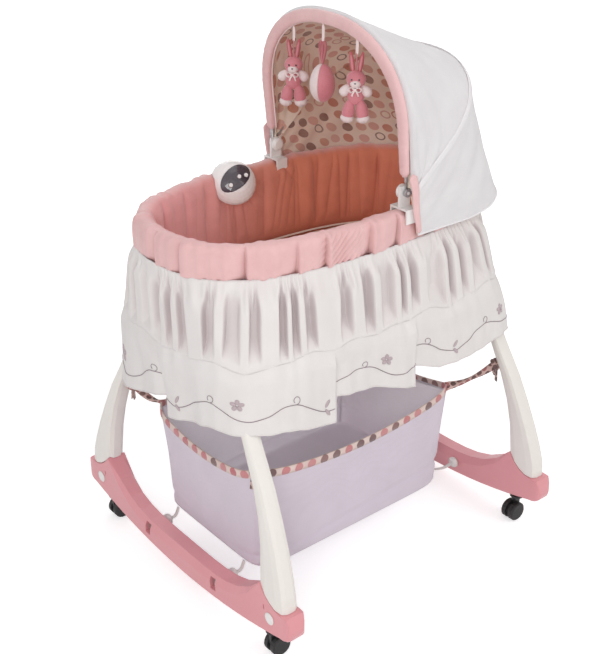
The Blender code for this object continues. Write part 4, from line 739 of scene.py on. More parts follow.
def make_lights():
    """Square lamps, all aimed at the tub's floor."""
    for name, place, size, power, colour in (
        ("key", (1.3, -2.4, 2.3), 1.3, 21.0, (1.0, 0.985, 0.97)),
        ("front", (-2.0, -1.9, 1.8), 1.0, 27.0, (1, 1, 1)),
        ("side", (-2.9, 0.3, 1.4), 1.8, 4.0, (0.98, 0.98, 1.0)),
        ("top", (0.3, 0.4, 3.2), 2.0, 9.0, (1, 1, 1)),
        ("back", (1.6, 2.4, 1.8), 1.8, 10.0, (1, 1, 1)),
    ):
        data = bpy.data.lights.new(name, "AREA")
        data.shape = "SQUARE"
        data.size = size
        data.energy = power
        data.color = colour
        made = bpy.data.objects.new(name, data)
        made.location = place
        made.rotation_euler = (LAMP_AIM - made.location).to_track_quat("-Z", "Y").to_euler()
        bpy.context.scene.collection.objects.link(made)
    bpy.context.scene.view_settings.view_transform = "Standard"


# Tub padding and mattress


def padding_section():
    """The padding's cross-section as (outward, height): its seen side, then what lies behind it."""
    wide = PAD_HALF_WIDTH
    seen = smooth_path([
        (wide * 0.80, PAD_OUTER_LIP - 0.0004), (wide * 1.0, PAD_OUTER_LIP + 0.002),
        (wide * 1.08, PAD_OUTER_LIP + 0.013),
        (wide * 1.10, RAIL_Z), (wide * 0.98, PAD_CROWN - 0.0105), (wide * 0.62, PAD_CROWN - 0.0022),
        (0.0, PAD_CROWN + 0.0004), (-wide * 0.55, PAD_CROWN - 0.0022), (-wide * 0.90, PAD_CROWN - 0.0105),
        (-wide * 1.02, RAIL_Z + 0.004), (-0.0190, 0.780), (-0.0188, 0.752), (-0.0188, 0.724), (-0.0192, 0.698),
        (-0.0196, 0.674), (-0.0200, 0.650), (-0.0198, 0.622), (-0.0185, 0.606),
    ], SEEN_POINTS)
    behind = smooth_path([
        (-0.0150, 0.6022), (-0.0112, 0.6060), (-0.0035, 0.694), (0.0040, 0.782), (0.0075, 0.7885), (0.0118, 0.7860),
        (0.0125, 0.772), (0.0128, 0.764),
    ], 20)
    return np.vstack([seen, behind])


def nearest_seam(lap, share, seams, lean, whole):
    """How far each point is, along the rim, from the nearest of the upright seams."""
    near = np.full((len(lap), len(share)), 1.0)
    for spot, slope in zip(seams, lean):
        off = wrapped(lap[:, None] - spot - slope * (share[None] - 0.5)) * whole
        near = np.minimum(near, abs(off))
    return near


def fan(along, height, centre, first, last, count, reach):
    """Drag folds which spread from a point where the cloth is held."""
    across, down = along - centre[0], centre[1] - height
    angle = np.arctan2(down, across)
    away = np.hypot(across, down)
    within = smooth_step((angle - first) / 0.25) * smooth_step((last - angle) / 0.25)
    return within * hump(away - reach, reach * 0.62) * abs(np.sin(angle * count)) ** 0.7


def make_padding():
    """The velour padding, one closed ring: sewn tucks down its outer face, a smooth crown over the
    rail, and upright channels with puffed panels between them down the inside of the tub."""
    wide = PAD_HALF_WIDTH
    section = padding_section()
    turns, whole = even_turns(rail_line, RIM_POINTS)
    lap = np.arange(len(turns)) / len(turns)
    out, z = (np.broadcast_to(section[:, k], (len(turns), len(section))).copy() for k in (0, 1))
    seen = np.arange(len(section)) < SEEN_POINTS
    face = smooth_step((out / wide - 0.35) / 0.45)
    crown = smooth_step((z - PAD_CROWN + 0.014) / 0.012)
    chance = np.random.RandomState(4)
    tucks = (np.arange(TUCKS) + 0.35 + chance.uniform(-0.2, 0.2, TUCKS)) / TUCKS
    pull, lip = np.zeros(len(turns)), np.zeros(len(turns))
    for spot, strength in zip(tucks, chance.uniform(0.6, 1.0, TUCKS)):
        off = wrapped(lap - spot) * whole
        pull = np.maximum(pull, strength * np.exp(-abs(off) / np.where(off < 0, 0.017, 0.0012)))
        lip = np.maximum(lip, strength * np.where(off > 0, np.exp(-abs(off) / 0.010), 0.0))
    puff = 0.0016 * ripple(lap, (9, 14, 23, 31), 1) + 0.0008 * ripple(lap, (57, 71, 88), 2)
    height = np.clip((z - PAD_OUTER_LIP) / (PAD_CROWN - PAD_OUTER_LIP), 0, 1)
    low = 0.45 + 0.55 * (1 - height)
    out += face * (0.0012 + (TUCK_LIP * lip - TUCK_DEPTH * pull)[:, None] * low + puff[:, None])
    z += crown * (0.7 * puff - 0.0012 * pull)[:, None]
    z -= face * (1 - height) * (0.0024 * pull - 0.0014 * ripple(lap, (19, 28, 41), 7))[:, None]
    rail = rail_line(turns)[:, None]
    x, y = (rail[..., k] + 0 * z for k in (0, 1))
    rumple = hump(x - RUMPLE_X, 0.045) * (y < 0)
    slant = np.sin(2 * math.pi * ((x * 0.9 - z) / 0.0135 + 0.4 * ripple(lap, (17, 29), 8)[:, None]))
    out += face * rumple * RUMPLE_DEPTH * slant
    share = (RAIL_Z - z[0]) / (RAIL_Z - WALL_FOOT)
    seams = (np.arange(CHANNELS) + chance.uniform(-0.22, 0.22, CHANNELS)) / CHANNELS
    near = nearest_seam(lap, share, seams, chance.uniform(-0.005, 0.005, CHANNELS), whole)
    minor = (np.arange(WRINKLES) + chance.uniform(-0.4, 0.4, WRINKLES)) / WRINKLES
    wrinkle = nearest_seam(lap, share, minor, chance.uniform(-0.02, 0.02, WRINKLES), whole)
    inside = smooth_step((-out / wide - 0.35) / 0.5) * seen * smooth_step((z - PANEL_FOOT) / 0.035)
    tall = 0.25 + 0.75 * smooth_step((PAD_CROWN - 0.004 - z) / 0.030)
    hooded = smooth_step((x + 0.02) / 0.14)
    far = y > 0
    folds = sum(fan(x, z, *numbers) for numbers in FANS)
    depth = PANEL_DEPTH * (1 - np.exp(-(near / 0.011) ** 1.1))
    depth += (WRINKLE_DEPTH + HOODED_DEPTH * hooded) * (1 - np.exp(-(wrinkle / 0.006) ** 1.2))
    depth += DRAG_DEPTH * folds * far + 0.0012 * ripple(lap, (23, 37, 51), 12)[:, None]
    out -= inside * tall * depth
    flat = rail + outward(rail_line, turns)[:, None] * out[..., None]
    points = np.concatenate([flat, z[..., None]], -1)
    ring = grid(points, True, True)
    piece("tub_padding", [ring], "padding", "cradle", "pad_cloth", "rim_pad", "tub_wall")


def make_mattress():
    """A thin quilted pad with a piped edge, swelled by a short cloth simulation."""
    full = -TUB_TAPER - WALL_THICKNESS / 2 - MATTRESS_CLEARANCE
    turns = even_turns(rail_line, 180)[0]

    def ring(inset, height):
        flat = rail_line(turns) + outward(rail_line, turns) * (full - inset)
        return np.column_stack([flat, np.full(len(turns), height)])

    rows = [ring(inset, MATTRESS_FOOT + height) for inset, height in MATTRESS_LEVELS]
    pad = mesh_object("mattress_pad", [grid(rows, True, False, True)])
    swell(pad, 0.008, 3.0, 0.006)
    edge = ring(0.006, MATTRESS_TOP - 0.0045)
    piping = mesh_object("mattress_piping", [tube(edge, MATTRESS_PIPING, 8, closed=True)])
    dress(pad, "mattress", "cradle", "mattress_cloth", "mattress")
    dress(piping, "mattress", "cradle", "mattress_cloth")


def swell(obj, voxel, pressure, most):
    """Remeshes a closed form, lets cloth pressure fill it, and keeps each point near where it was."""
    remesh = obj.modifiers.new("Even faces", "REMESH")
    remesh.voxel_size = voxel
    apply_modifiers(obj)
    start = np.array([v.co for v in obj.data.vertices])
    push = obj.modifiers.new("Pressure", "CLOTH")
    push.settings.use_pressure = True
    push.settings.uniform_pressure_force = pressure
    push.settings.tension_stiffness = 25
    push.settings.effector_weights.gravity = 0.0
    frames = 20
    push.point_cache.frame_end = frames
    for step in range(1, frames + 1):
        bpy.context.scene.frame_set(step)
    apply_modifiers(obj)
    bpy.context.scene.frame_set(1)
    change = np.array([v.co for v in obj.data.vertices]) - start
    size = np.linalg.norm(change, axis=1, keepdims=True)
    kept = start + change * np.minimum(1.0, most / np.maximum(size, 1e-9))
    obj.data.vertices.foreach_set("co", kept.astype(np.float32).ravel())
    obj.data.shade_smooth()


def apply_modifiers(obj):
    graph = bpy.context.evaluated_depsgraph_get()
    graph.update()
    mesh = bpy.data.meshes.new_from_object(obj.evaluated_get(graph))
    obj.modifiers.clear()
    obj.data = mesh


# Skirt


def skirt_hem_line(turn):
    return oval(SKIRT_HALF_LENGTH - SKIRT_INSET, SKIRT_HALF_WIDTH - SKIRT_INSET, SKIRT_EXPONENT, 0.0, turn)


def hem_laps():
    """Where each of the hem's keys is along it, from zero to one."""
    fine = np.linspace(0, 2 * math.pi, 8001)
    line = skirt_hem_line(fine)
    run = run_lengths(line)
    return [run[np.argmin(np.linalg.norm(line - np.array(key[:2]), axis=1))] / run[-1] for key in HEM_KEYS]


HEM_LAPS = hem_laps()


def hem_height(lap):
    return np.interp(lap, HEM_LAPS, [key[2] for key in HEM_KEYS], period=1.0)


def skirt_surface(turn, share, lap):
    """The skirt's points: fine gathers at the band run together into broad folds, whose valleys end
    at the seam of a flatter panel that hangs in pleats below."""
    top = rail_line(turn) + outward(rail_line, turn) * (PAD_HALF_WIDTH - 0.0015)
    hem = skirt_hem_line(turn)
    plain = top + (hem - top) * (share ** SKIRT_FLARE_POWER)[..., None]
    out = unit(np.stack([plain[..., 0] / SKIRT_HALF_LENGTH**2, plain[..., 1] / SKIRT_HALF_WIDTH**2], -1))
    drift = 0.0085 * ripple(lap, (5, 9, 16), 21) + 0.0022 * ripple(lap, (23, 31), 22)
    phase = 2 * math.pi * SKIRT_GATHERS * (lap + drift + 0.004 * (share - 0.2) * ripple(lap, (11, 17), 28))
    crest = 0.5 + 0.5 * np.cos(phase)
    fine = 0.5 + 0.5 * np.cos(3 * phase + 1.3 * ripple(lap, (13, 21), 29))
    band_end = smooth_step(share / 0.15)
    down = smooth_step(share / (0.20 + 0.05 * ripple(lap, (7, 12, 19, 27), 23)))
    fold = (0.45 * crest + 0.55 * fine) * (1 - down) + smooth_step((crest - 0.22) / 0.52) * down
    strength = np.clip(0.95 + 0.20 * ripple(lap, (13, 19, 29, 37), 24), 0.6, 1.25)
    seam = SEAM_SHARE - 0.02 - 0.02 * ripple(lap, (6, 10), 30)
    fill = np.clip((share - seam + 0.15) / 0.15, 0, 1) ** 1.5
    fold = np.minimum(1.0, (fold**5 + fill**5) ** 0.2)
    depth = GATHER_DEPTH * (0.22 + 0.78 * band_end) * (strength * (1 - fill) + fill)
    upper = depth * fold - VALLEY_DEPTH * (1 - fold) * band_end + SEAM_BEAD * hump(share - SEAM_SHARE + 0.02, 0.012)
    ease = smooth_step((share - SEAM_SHARE) / 0.35)
    wave = 0.5 + 0.5 * np.cos(SKIRT_FOLDS * turn + 1.1 * ripple(lap, (3, 5), 25))
    low = hem_height(lap)
    pleat = PLEAT_DEPTH * (HEM_HIGH - low) / (HEM_HIGH - HEM_LOW) * smooth_step((share - SEAM_SHARE) / 0.10)
    foot = smooth_step((-plain[..., 0] - 0.28) / 0.08)
    lower = GATHER_DEPTH - 0.0008 - 0.008 * ease + SKIRT_FOLD_DEPTH * (wave - 0.4) * ease + pleat
    lower -= foot * (0.007 * ease + 0.5 * pleat)
    lower += 0.0012 * ripple(lap, (29, 47, 61), 26) * ease + 0.0022 * (crest - 0.5) * (1 - ease)
    above = smooth_step((SEAM_SHARE - share) / 0.010)
    cuff = CUFF_DEPTH * abs(np.sin(2 * turn)) ** 9 * smooth_step((share - 0.5) / 0.35)
    plain = plain + out * (above * upper + (1 - above) * lower + cuff)[..., None]
    z = SKIRT_TOP + BAND_RISE * (1 - smooth_step(share / 0.018))
    z += (HEM_MIDDLE - SKIRT_TOP) * share + (low - HEM_MIDDLE) * smooth_step((share - SEAM_SHARE) / 0.40)
    z += SEAM_WAVE * ripple(lap, (9, 13, 22), 31) * hump(share - SEAM_SHARE, 0.14)
    return np.concatenate([plain, z[..., None]], -1)


def skirt_patch(first, last, columns, turns):
    share = np.linspace(first, last, columns)
    lap = np.arange(len(turns)) / len(turns)
    return skirt_surface(np.broadcast_to(turns, (columns, len(turns))), share[:, None] + 0 * turns[None],
                         np.broadcast_to(lap, (columns, len(turns))))


def make_skirt():
    turns = even_turns(skirt_hem_line, SKIRT_POINTS)[0]
    gathers = mesh_object("skirt_gathers", [grid(skirt_patch(0.0, SEAM_SHARE, 62, turns), True)])
    panel = mesh_object("skirt_panel", [grid(skirt_patch(SEAM_SHARE - 0.012, 1.0, 46, turns), True)])
    for part, finish in ((gathers, "skirt"), (panel, "panel_cloth")):
        dress(thicken(part, CLOTH_THICKNESS), finish, "cradle", "skirt_cloth")
    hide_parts("skirt")
    hem = skirt_patch(0.955, 1.0, 2, turns)[1]
    piece("skirt_hem_fold", [tube(hem, HEM_ROLL, 6, closed=True)], "skirt", "cradle", "skirt_cloth")


# Vine on the skirt's panel


def on_panel(run, height, whole, turns, lift):
    """A point on the skirt's panel by its run along the hem and its height above it."""
    run = np.asarray(run, float)
    height = np.asarray(height, float)
    lap = (run / whole) % 1.0
    turn = np.interp(lap * len(turns), np.arange(len(turns) + 1), np.append(turns, turns[0] + 2 * math.pi))
    share = 1.0 - height / (SKIRT_TOP - HEM_MIDDLE)
    here = skirt_surface(turn, share, lap)
    step = 0.0015
    beside = skirt_surface(turn + step, share, lap)
    under = skirt_surface(turn, share + step, lap)
    normal = unit(np.cross(beside - here, here - under))
    normal *= np.sign(normal[..., 0] * here[..., 0] / SKIRT_HALF_LENGTH**2
                      + normal[..., 1] * here[..., 1] / SKIRT_HALF_WIDTH**2)[..., None]
    return here + normal * lift, normal


def make_vine():
    """A generic stitched vine with curls, five-petalled flowers and pairs of leaves."""
    turns, whole = even_turns(skirt_hem_line, SKIRT_POINTS)
    threads, petals = [], []
    pitch = whole / VINE_REPEATS

    def stitch(run, height, radius):
        """A raised thread, which stops at a pleat and goes on behind it."""
        points, normal = on_panel(run, height, whole, turns, THREAD_LIFT)
        steps = np.linalg.norm(np.diff(points, axis=0), axis=1)
        cuts = np.flatnonzero(steps > 2.5 * np.median(steps)) + 1
        for points_part, normal_part in zip(np.split(points, cuts), np.split(normal, cuts)):
            if len(points_part) > 3:
                threads.append(band(points_part, round_section(radius, 0.0006, 6), normal_part))

    def petal(run, height, length, width, angle):
        spots = np.linspace(0, math.pi, 12)
        bulge = np.sin(spots) ** 0.8
        along = (1 - np.cos(spots)) / 2 * length
        rows = []
        for side in (-1, -0.5, 0, 0.5, 1):
            across = side * bulge * width / 2
            r = run + along * math.cos(angle) - across * math.sin(angle)
            h = height + along * math.sin(angle) + across * math.cos(angle)
            rows.append(on_panel(r, h, whole, turns, THREAD_LIFT + 0.0007 * (1 - side * side))[0])
        petals.append(grid(rows))

    for i in range(VINE_REPEATS):
        start = i * pitch
        run = np.linspace(start, start + pitch, 60)
        stitch(run, VINE_HEIGHT + VINE_SWING * np.sin(2 * math.pi * (run - start) / pitch), THREAD_RADIUS)
        curl = np.linspace(0, 1.75 * math.pi, 26)
        size = CURL_SIZE * (1 - 0.35 * curl / curl[-1])
        at = start + pitch * 0.25
        stitch(at + 0.008 + size * np.sin(curl), CURL_FOOT + CURL_SIZE - size * np.cos(curl), CURL_RADIUS)
        if i % 2:
            centre = (start + pitch * 0.62, FLOWER_HEIGHT)
            for k in range(5):
                angle = 2 * math.pi * k / 5 + 0.3
                petal(centre[0] + 0.0025 * math.cos(angle), centre[1] + 0.0025 * math.sin(angle),
                      0.0115, 0.009, angle)
            ring = np.linspace(0, 2 * math.pi, 16)
            stitch(centre[0] + FLOWER_EYE * np.cos(ring), centre[1] + FLOWER_EYE * np.sin(ring), THREAD_RADIUS)
        else:
            for side in (1, -1):
                petal(start + pitch * 0.7, LEAF_HEIGHT + side * 0.002, 0.017, 0.007, side * 0.9)
    piece("vine_stitching", threads, "thread", "cradle", "skirt_cloth")
    dress(thicken(mesh_object("vine_petals", petals), 0.0006), "petal", "cradle", "skirt_cloth")


# Hood


def on_hood_plane(angle, line, forward=0.0):
    """A line of (across, up) points in a plane through the hood's hinge, at this angle above +X."""
    across, up = line.T
    x = HINGE.x + math.cos(angle) * up - math.sin(angle) * forward
    z = HINGE.z + math.sin(angle) * up + math.cos(angle) * forward
    return np.stack([x, across, z], -1)


def squared(value):
    """A cosine or a sine, drawn out as along a superellipse."""
    return abs(value) ** (2 / BOW_EXPONENT) * np.sign(value)


def arch_line(half_width, straight, rise, start, count):
    """Evenly spaced (across, up) points over an arch: straight sides, then a rounded top."""
    turn = np.linspace(0, math.pi, 400)
    top = np.column_stack([squared(np.cos(turn)) * half_width, straight + rise * squared(np.sin(turn))])
    return evened(np.vstack([[half_width, start], top, [-half_width, start]]), count)


def hem_line(count):
    """The hood's lower edge, from its left front corner round the head end to its right one."""
    straight = np.linspace(HOOD_FRONT_X, HOOD_CORNER_X, 60)[:-1]
    turn = np.linspace(0, math.pi, 300)
    rise = squared(np.sin(turn))
    x = HOOD_CORNER_X + (HOOD_HEAD_X - HOOD_CORNER_X) * rise
    z = HOOD_HEM_Z + (HOOD_HEAD_Z - HOOD_HEM_Z) * rise
    head = np.column_stack([x, HOOD_HALF_WIDTH * squared(np.cos(turn)), z])
    level = np.ones(len(straight))
    left = np.column_stack([straight, level * HOOD_HALF_WIDTH, level * HOOD_HEM_Z])
    right = left[::-1] * [1, -1, 1]
    return evened(np.vstack([left, head, right]), count)


def rear_arch(inset):
    """The hood's line over the rear bow."""
    reach, rise = HOOD_HALF_WIDTH - inset, REAR_RISE + REAR_COVER - inset
    return on_hood_plane(REAR_ANGLE, arch_line(reach, REAR_STRAIGHT, rise, REAR_START, HOOD_COLUMNS))


def mouth_arch(inset, setback):
    """A line round the hood's mouth, this far in from the binding's outer edge."""
    reach = FRONT_BOW_REACH + BINDING_WIDTH / 2 - inset
    line = arch_line(reach, FRONT_STRAIGHT, FRONT_RISE + BINDING_WIDTH / 2 - inset, FRONT_START, HOOD_COLUMNS)
    return on_hood_plane(FRONT_ANGLE, line, setback)


def between(first, last, rows):
    """Rows of points from one line to another."""
    return first[None] + (last - first)[None] * np.linspace(0, 1, rows)[:, None, None]


def inward_of(points):
    """Unit normals of a hood cloth, pointing into the hood."""
    normal = np.cross(np.gradient(points, axis=1), np.gradient(points, axis=0))
    normal /= np.maximum(np.linalg.norm(normal, axis=-1, keepdims=True), 1e-9)
    inward = points.mean(axis=(0, 1)) - points
    return normal * np.sign((normal * inward).sum(-1, keepdims=True))


def dimple(points, depth, seed):
    """Slow slack and drag folds in a stretched cloth, kept to its middle, with a few sharper creases
    that rise from its lower corners."""
    rows, columns = points.shape[:2]
    down = np.linspace(0, 1, rows)[:, None]
    lap = np.linspace(0, 1, columns)[None]
    edge = np.sin(math.pi * down) ** 0.7
    slack = ripple(lap + 0.13 * down, (3, 5, 8), seed) * 0.5
    slack = slack + ripple(lap * 0.7 - 0.3 * down, (7, 11), seed + 1) * 0.3
    low = np.minimum(lap, 1 - lap)
    drag = np.sin(2 * math.pi * (2.6 * down + 9.0 * low)) * smooth_step((0.36 - low) / 0.2)
    drag = drag * smooth_step(low / 0.05)
    return points + inward_of(points) * (edge * (depth + 0.5 * depth * slack + CREASE_DEPTH * drag))[..., None]


def lining_uv(points, behind):
    """Places on the lining's print. Before the rear bow they go by height and depth down the sides, and
    by their run over the top; behind it by their run across and their height."""
    columns = points.shape[1]
    middle = columns // 2
    girth = np.stack([run_lengths(row) for row in points])
    girth -= girth[:, middle:middle + 1]
    spring = HINGE.z + REAR_STRAIGHT
    side = np.sign(np.arange(columns) - middle)[None]
    far = abs(np.arange(columns) - middle)[None] / middle
    if behind:
        upright = run_lengths(points[:, middle])[:, None] + points[:, middle:middle + 1, 2]
        weight = smooth_step((far - 0.15) / 0.5)
        return np.stack([girth, upright * (1 - weight) + upright[-1] * weight - points[..., 2]], -1)
    level = side * (0.245 + spring - points[..., 2])
    weight = smooth_step((far - 0.45) / 0.25)
    depth = run_lengths(points[:, middle])[:, None] + points[0, middle, 0]
    return np.stack([girth * (1 - weight) + level * weight, depth * (1 - weight) + points[..., 0] * weight], -1)


def make_hood():
    """The hood's outer cloth and its dotted lining, before and behind the rear bow."""
    cover = arch_line(HOOD_HALF_WIDTH, FRONT_STRAIGHT, FRONT_RISE + BINDING_WIDTH / 2 + FRONT_COVER, FRONT_START,
                      HOOD_COLUMNS)
    front = between(on_hood_plane(FRONT_ANGLE, cover, HOOD_SETBACK), rear_arch(0.0), 40)
    front = dimple(front, FRONT_SLACK, 31)
    rear = dimple(between(rear_arch(0.0), hem_line(HOOD_COLUMNS), 44), REAR_SLACK, 37)
    share = np.linspace(0, 1, len(front))[:, None, None]
    front_lining = front + inward_of(front) * FRONT_LINING_GAP
    front_lining += (mouth_arch(LINING_MOUTH, -0.003) - front_lining[0]) * (1 - share) ** 3.5
    front_lining += (rear_arch(LINING_INSET) - front[-1]) * share**3.5
    share = np.linspace(0, 1, len(rear))[:, None, None]
    rear_lining = rear + (rear_arch(LINING_INSET) - rear[0]) * (1 - share) ** 2.2
    rear_lining += inward_of(rear) * REAR_LINING_GAP * smooth_step(share / 0.5)
    front = np.concatenate([mouth_arch(0.0012, -0.0012)[None], front])
    front_blend = ("canopy_rear", "canopy_front", bisector(FRONT_RAY, -0.10), bisector(FRONT_RAY, 0.10))
    rear_blend = ("cradle", "canopy_rear", bisector(REAR_RAY, -0.11), bisector(REAR_RAY, 0.0))
    for name, points, finish, (low, high, start, end), width in (
        ("hood_front_cloth", front, "hood", front_blend, 1.14),
        ("hood_rear_cloth", rear, "hood", rear_blend, 1.16),
        ("hood_front_lining", front_lining, "lining", front_blend, 1.06),
        ("hood_rear_lining", rear_lining, "lining", rear_blend, 1.10),
    ):
        skin = grid(points)
        if finish == "lining":
            skin["uv"] = lining_uv(points, "rear" in name)
        made = thicken(mesh_object(name, [skin], False), CLOTH_THICKNESS)
        apply_modifiers(made)
        dress(made, finish, None, "hood_cloth")
        if name == "hood_rear_cloth":
            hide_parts("canopy_cover")
        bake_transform(made)
    piping = piece("hood_hem_piping", [tube(hem_line(160), HOOD_PIPING, 10)], "hood", None, "hood_cloth")
    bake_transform(piping)
    ridge = arch_line(HOOD_HALF_WIDTH + 0.0002, REAR_STRAIGHT, REAR_RISE + 0.0069, 0.012, 150)
    path = on_hood_plane(REAR_ANGLE, ridge)
    outwards = path - np.array([HINGE.x + 0.1, 0.0, HINGE.z + 0.08])
    casing = band(path, round_section(0.0075, 0.0016, 14, 2.4), outwards)
    piece("hood_bow_casing", [casing], "hood", "canopy_rear", "hood_cloth")


def bisector(angle, distance):
    """A point off the hinge, square to a ray at this angle, in degrees."""
    turn = math.radians(angle)
    return tuple(HINGE + Vector((-math.sin(turn), 0, math.cos(turn))) * distance)


def make_binding():
    """The padded velour edge of the hood, over the front bow, and its flat ends below the hinge."""
    path = on_hood_plane(FRONT_ANGLE, arch_line(FRONT_BOW_REACH, FRONT_STRAIGHT, FRONT_RISE, BINDING_START, 260))
    forward = np.array([-math.sin(FRONT_ANGLE), 0, math.cos(FRONT_ANGLE)])
    middle = (BINDING_FRONT - BINDING_BACK) / 2
    lap = np.linspace(0, 1, len(path))
    ends = np.minimum(lap, 1 - lap)
    closing = (0.25 + 0.75 * smooth_step(ends / 0.012)) ** 0.5
    wide = BINDING_WIDTH / 2 * (0.80 + 0.2 * smooth_step(ends / 0.22)) * closing
    thick = (BINDING_FRONT + BINDING_BACK) / 2 * closing
    wide *= 1 + 0.02 * ripple(lap, (23, 37, 59), 41)
    thick *= 1 + 0.05 * ripple(lap, (31, 47, 71), 42)
    roll = band(path + forward * middle, sized_sections(28, 2.6, wide, thick), forward)
    piece("hood_binding", [roll], "velour", "canopy_front", "pad_cloth", "canopy_binding")
    inner = arch_line(FRONT_BOW_REACH - BINDING_WIDTH / 2 + 0.0006, FRONT_STRAIGHT,
                      FRONT_RISE - BINDING_WIDTH / 2 + 0.0006, BINDING_START + 0.004, 200)
    trim = tube(on_hood_plane(FRONT_ANGLE, inner, -0.001), BINDING_TRIM, 8, hint=forward)
    piece("hood_inner_trim", [trim], "satin", "canopy_front", "pad_cloth")
    for side, hand in SIDES.items():
        y = hand * (HOOD_HALF_WIDTH + 0.0035)
        foot = smooth_path([
            (HINGE.x - 0.0045, hand * 0.2262, HINGE.z + BINDING_START + 0.008),
            (HINGE.x + 0.0005, y, HINGE.z + 0.012),
            (HINGE.x + 0.0060, y, HINGE.z - 0.030),
            (HINGE.x + 0.0135, y, HINGE.z - 0.062),
            (HINGE.x + 0.0185, y - hand * 0.001, HOOD_HEM_Z + 0.004),
        ], 40)
        spot = np.linspace(0, 1, 40)
        rounding = (0.3 + 0.7 * smooth_step(np.minimum(spot, 1 - spot) / 0.06))
        sections = sized_sections(16, 2.6, (0.0105 - 0.0055 * spot) * rounding, 0.0032 * rounding)
        tail = band(foot, sections, (0, hand, 0))
        piece(f"hood_binding_end_{side}", [tail], "velour", "cradle", "pad_cloth")


# Basket, ties and straps


def basket_surface(turn, share, grow=0.0):
    """The bag's points. Its sides sag between the corners, and one slow fold runs along them."""
    half_length, half_width = (foot + (top - foot) * share + grow
                               for foot, top in zip(BASKET_FLOOR_HALF, BASKET_TOP_HALF))
    along, across = np.cos(turn), np.sin(turn)
    size = (abs(along) ** BASKET_EXPONENT + abs(across) ** BASKET_EXPONENT) ** (-1 / BASKET_EXPONENT)
    near = np.minimum(abs(along), abs(across)) / np.maximum(abs(along), abs(across))
    top = BASKET_TOP_Z - BASKET_SAG * (1 - near**2)
    middle = np.sin(math.pi * np.clip(share, 0, 1))
    slack = (1 - near**3) * middle * -BAG_SLACK
    crease = BAG_CREASE * ripple(turn / (2 * math.pi) + 0.05 * share, (7, 12, 18), 51) * middle
    fold = -BAG_FOLD * hump(share - (0.17 + 0.09 * along), 0.030) * smooth_step((abs(across) - 0.3) / 0.4)
    change = slack + crease + fold
    x = BASKET_CENTRE_X + (half_length + change) * along * size
    y = (half_width + change) * across * size
    return np.stack([x, y, BASKET_FLOOR_Z + (top - BASKET_FLOOR_Z) * share], -1)


def basket_line(turn):
    return oval(*BASKET_TOP_HALF, BASKET_EXPONENT, BASKET_CENTRE_X, turn)


def make_basket():
    turns = even_turns(basket_line, 420)[0]
    centre = np.array([BASKET_CENTRE_X, 0.0, BASKET_FLOOR_Z])
    edge = basket_surface(turns, np.zeros(len(turns)), -0.003)
    rows = [centre + (edge - centre) * share for share in (0.03, 0.2, 0.4, 0.6, 0.8, 0.93, 0.985)]
    rows += [basket_surface(turns, np.full(len(turns), share)) for share in np.linspace(0.012, 1.0, 52)]
    body = mesh_object("basket_bag", [grid(rows, True)], False)
    thicken(body, 0.0016).modifiers[0].material_offset = 1
    dress(body, "basket", "cradle", "basket_cloth", "basket")
    # painted light: the second material makes the bag's inner shell paler than the same cloth outside
    body.data.materials.append(look["basket_inside_painted_light"])
    line = basket_surface(turns, np.full(len(turns), 1.0))
    section = np.array([(-0.0018, -0.0150), (0.0018, -0.0150), (0.0022, -0.0075), (0.0020, 0.0), (0.0012, 0.0018),
                        (-0.0012, 0.0018), (-0.0020, 0.0), (-0.0022, -0.0075)])
    trim = grid(swept(line, section, closed=True), True, True)
    piece("basket_trim", [trim], "trim", "cradle", "tie_cloth")
    spots = np.linspace(0.02, 0.97, 24)
    seams = [tube(basket_surface(np.full(24, math.radians(angle)), spots, 0.0008), BASKET_SEAM, 8, hint=(1, 0, 0))
             for angle in CORNER_TURNS.values()]
    piece("basket_corner_seams", seams, "basket", "cradle", "basket_cloth")


def make_ties():
    """Twisted dotted ribbons from the basket's corners to the legs' inner edges, each ending in a knot
    with two tails."""
    for end, way, side, hand in CORNERS:
        turn = math.radians(CORNER_TURNS[way, hand])
        corner = Vector(basket_surface(np.array(turn), np.array(1.0)))
        goal = Vector((way * LEG_EDGE_X, hand * LEG_EDGE_Y, TIE_LEG_Z))
        ways = (goal - corner).normalized()
        start = corner + Vector((0, 0, -0.004))
        knot = goal - ways * 0.012
        path = smooth_path([start, start.lerp(knot, 0.35) - Vector((0, 0, 0.008)),
                            start.lerp(knot, 0.7) - Vector((0, 0, 0.007)), knot], 44)
        spot = np.linspace(0, 1, len(path))
        twist = math.pi * (0.15 + 1.15 * spot)
        flat = sized_sections(14, 2.4, 0.0034 + 0.0020 * spot, 0.0105 - 0.0030 * np.sin(math.pi * spot) ** 0.6)
        c, s = np.cos(twist)[:, None], np.sin(twist)[:, None]
        turned = np.stack([flat[..., 0] * c - flat[..., 1] * s, flat[..., 0] * s + flat[..., 1] * c], -1)
        parts = [band(path, turned)]
        lap = np.linspace(0, 2 * math.pi, 28, endpoint=False)
        across = Vector((-ways.y, ways.x, 0)).normalized()
        up = across.cross(ways).normalized()
        for lift, tilt in ((-0.004, 0.5), (0.004, -0.5)):
            ring = [knot + ways * (lift + 0.003 * math.sin(a + tilt)) + across * 0.0075 * math.cos(a)
                    + up * 0.0100 * math.sin(a) for a in lap]
            parts.append(tube([tuple(p) for p in ring], 0.0054, 10, hint=tuple(ways), closed=True))
        longer = (end, side) == ("foot", "right")
        for spread, drop in ((0.010, 0.050 if longer else 0.030), (-0.006, 0.040)):
            tail = smooth_path([knot, knot + across * spread * 0.5 - Vector((0, 0, 0.012)),
                                knot + across * spread - Vector((0, 0, drop))], 14)
            parts.append(band(tail, round_section(0.0016, 0.0064, 10, 2.4), tuple(across)))
        piece(f"tie_ribbon_{end}_{side}", parts, "ribbon", "cradle", "tie_cloth", f"basket_tie_{end}_{side}")


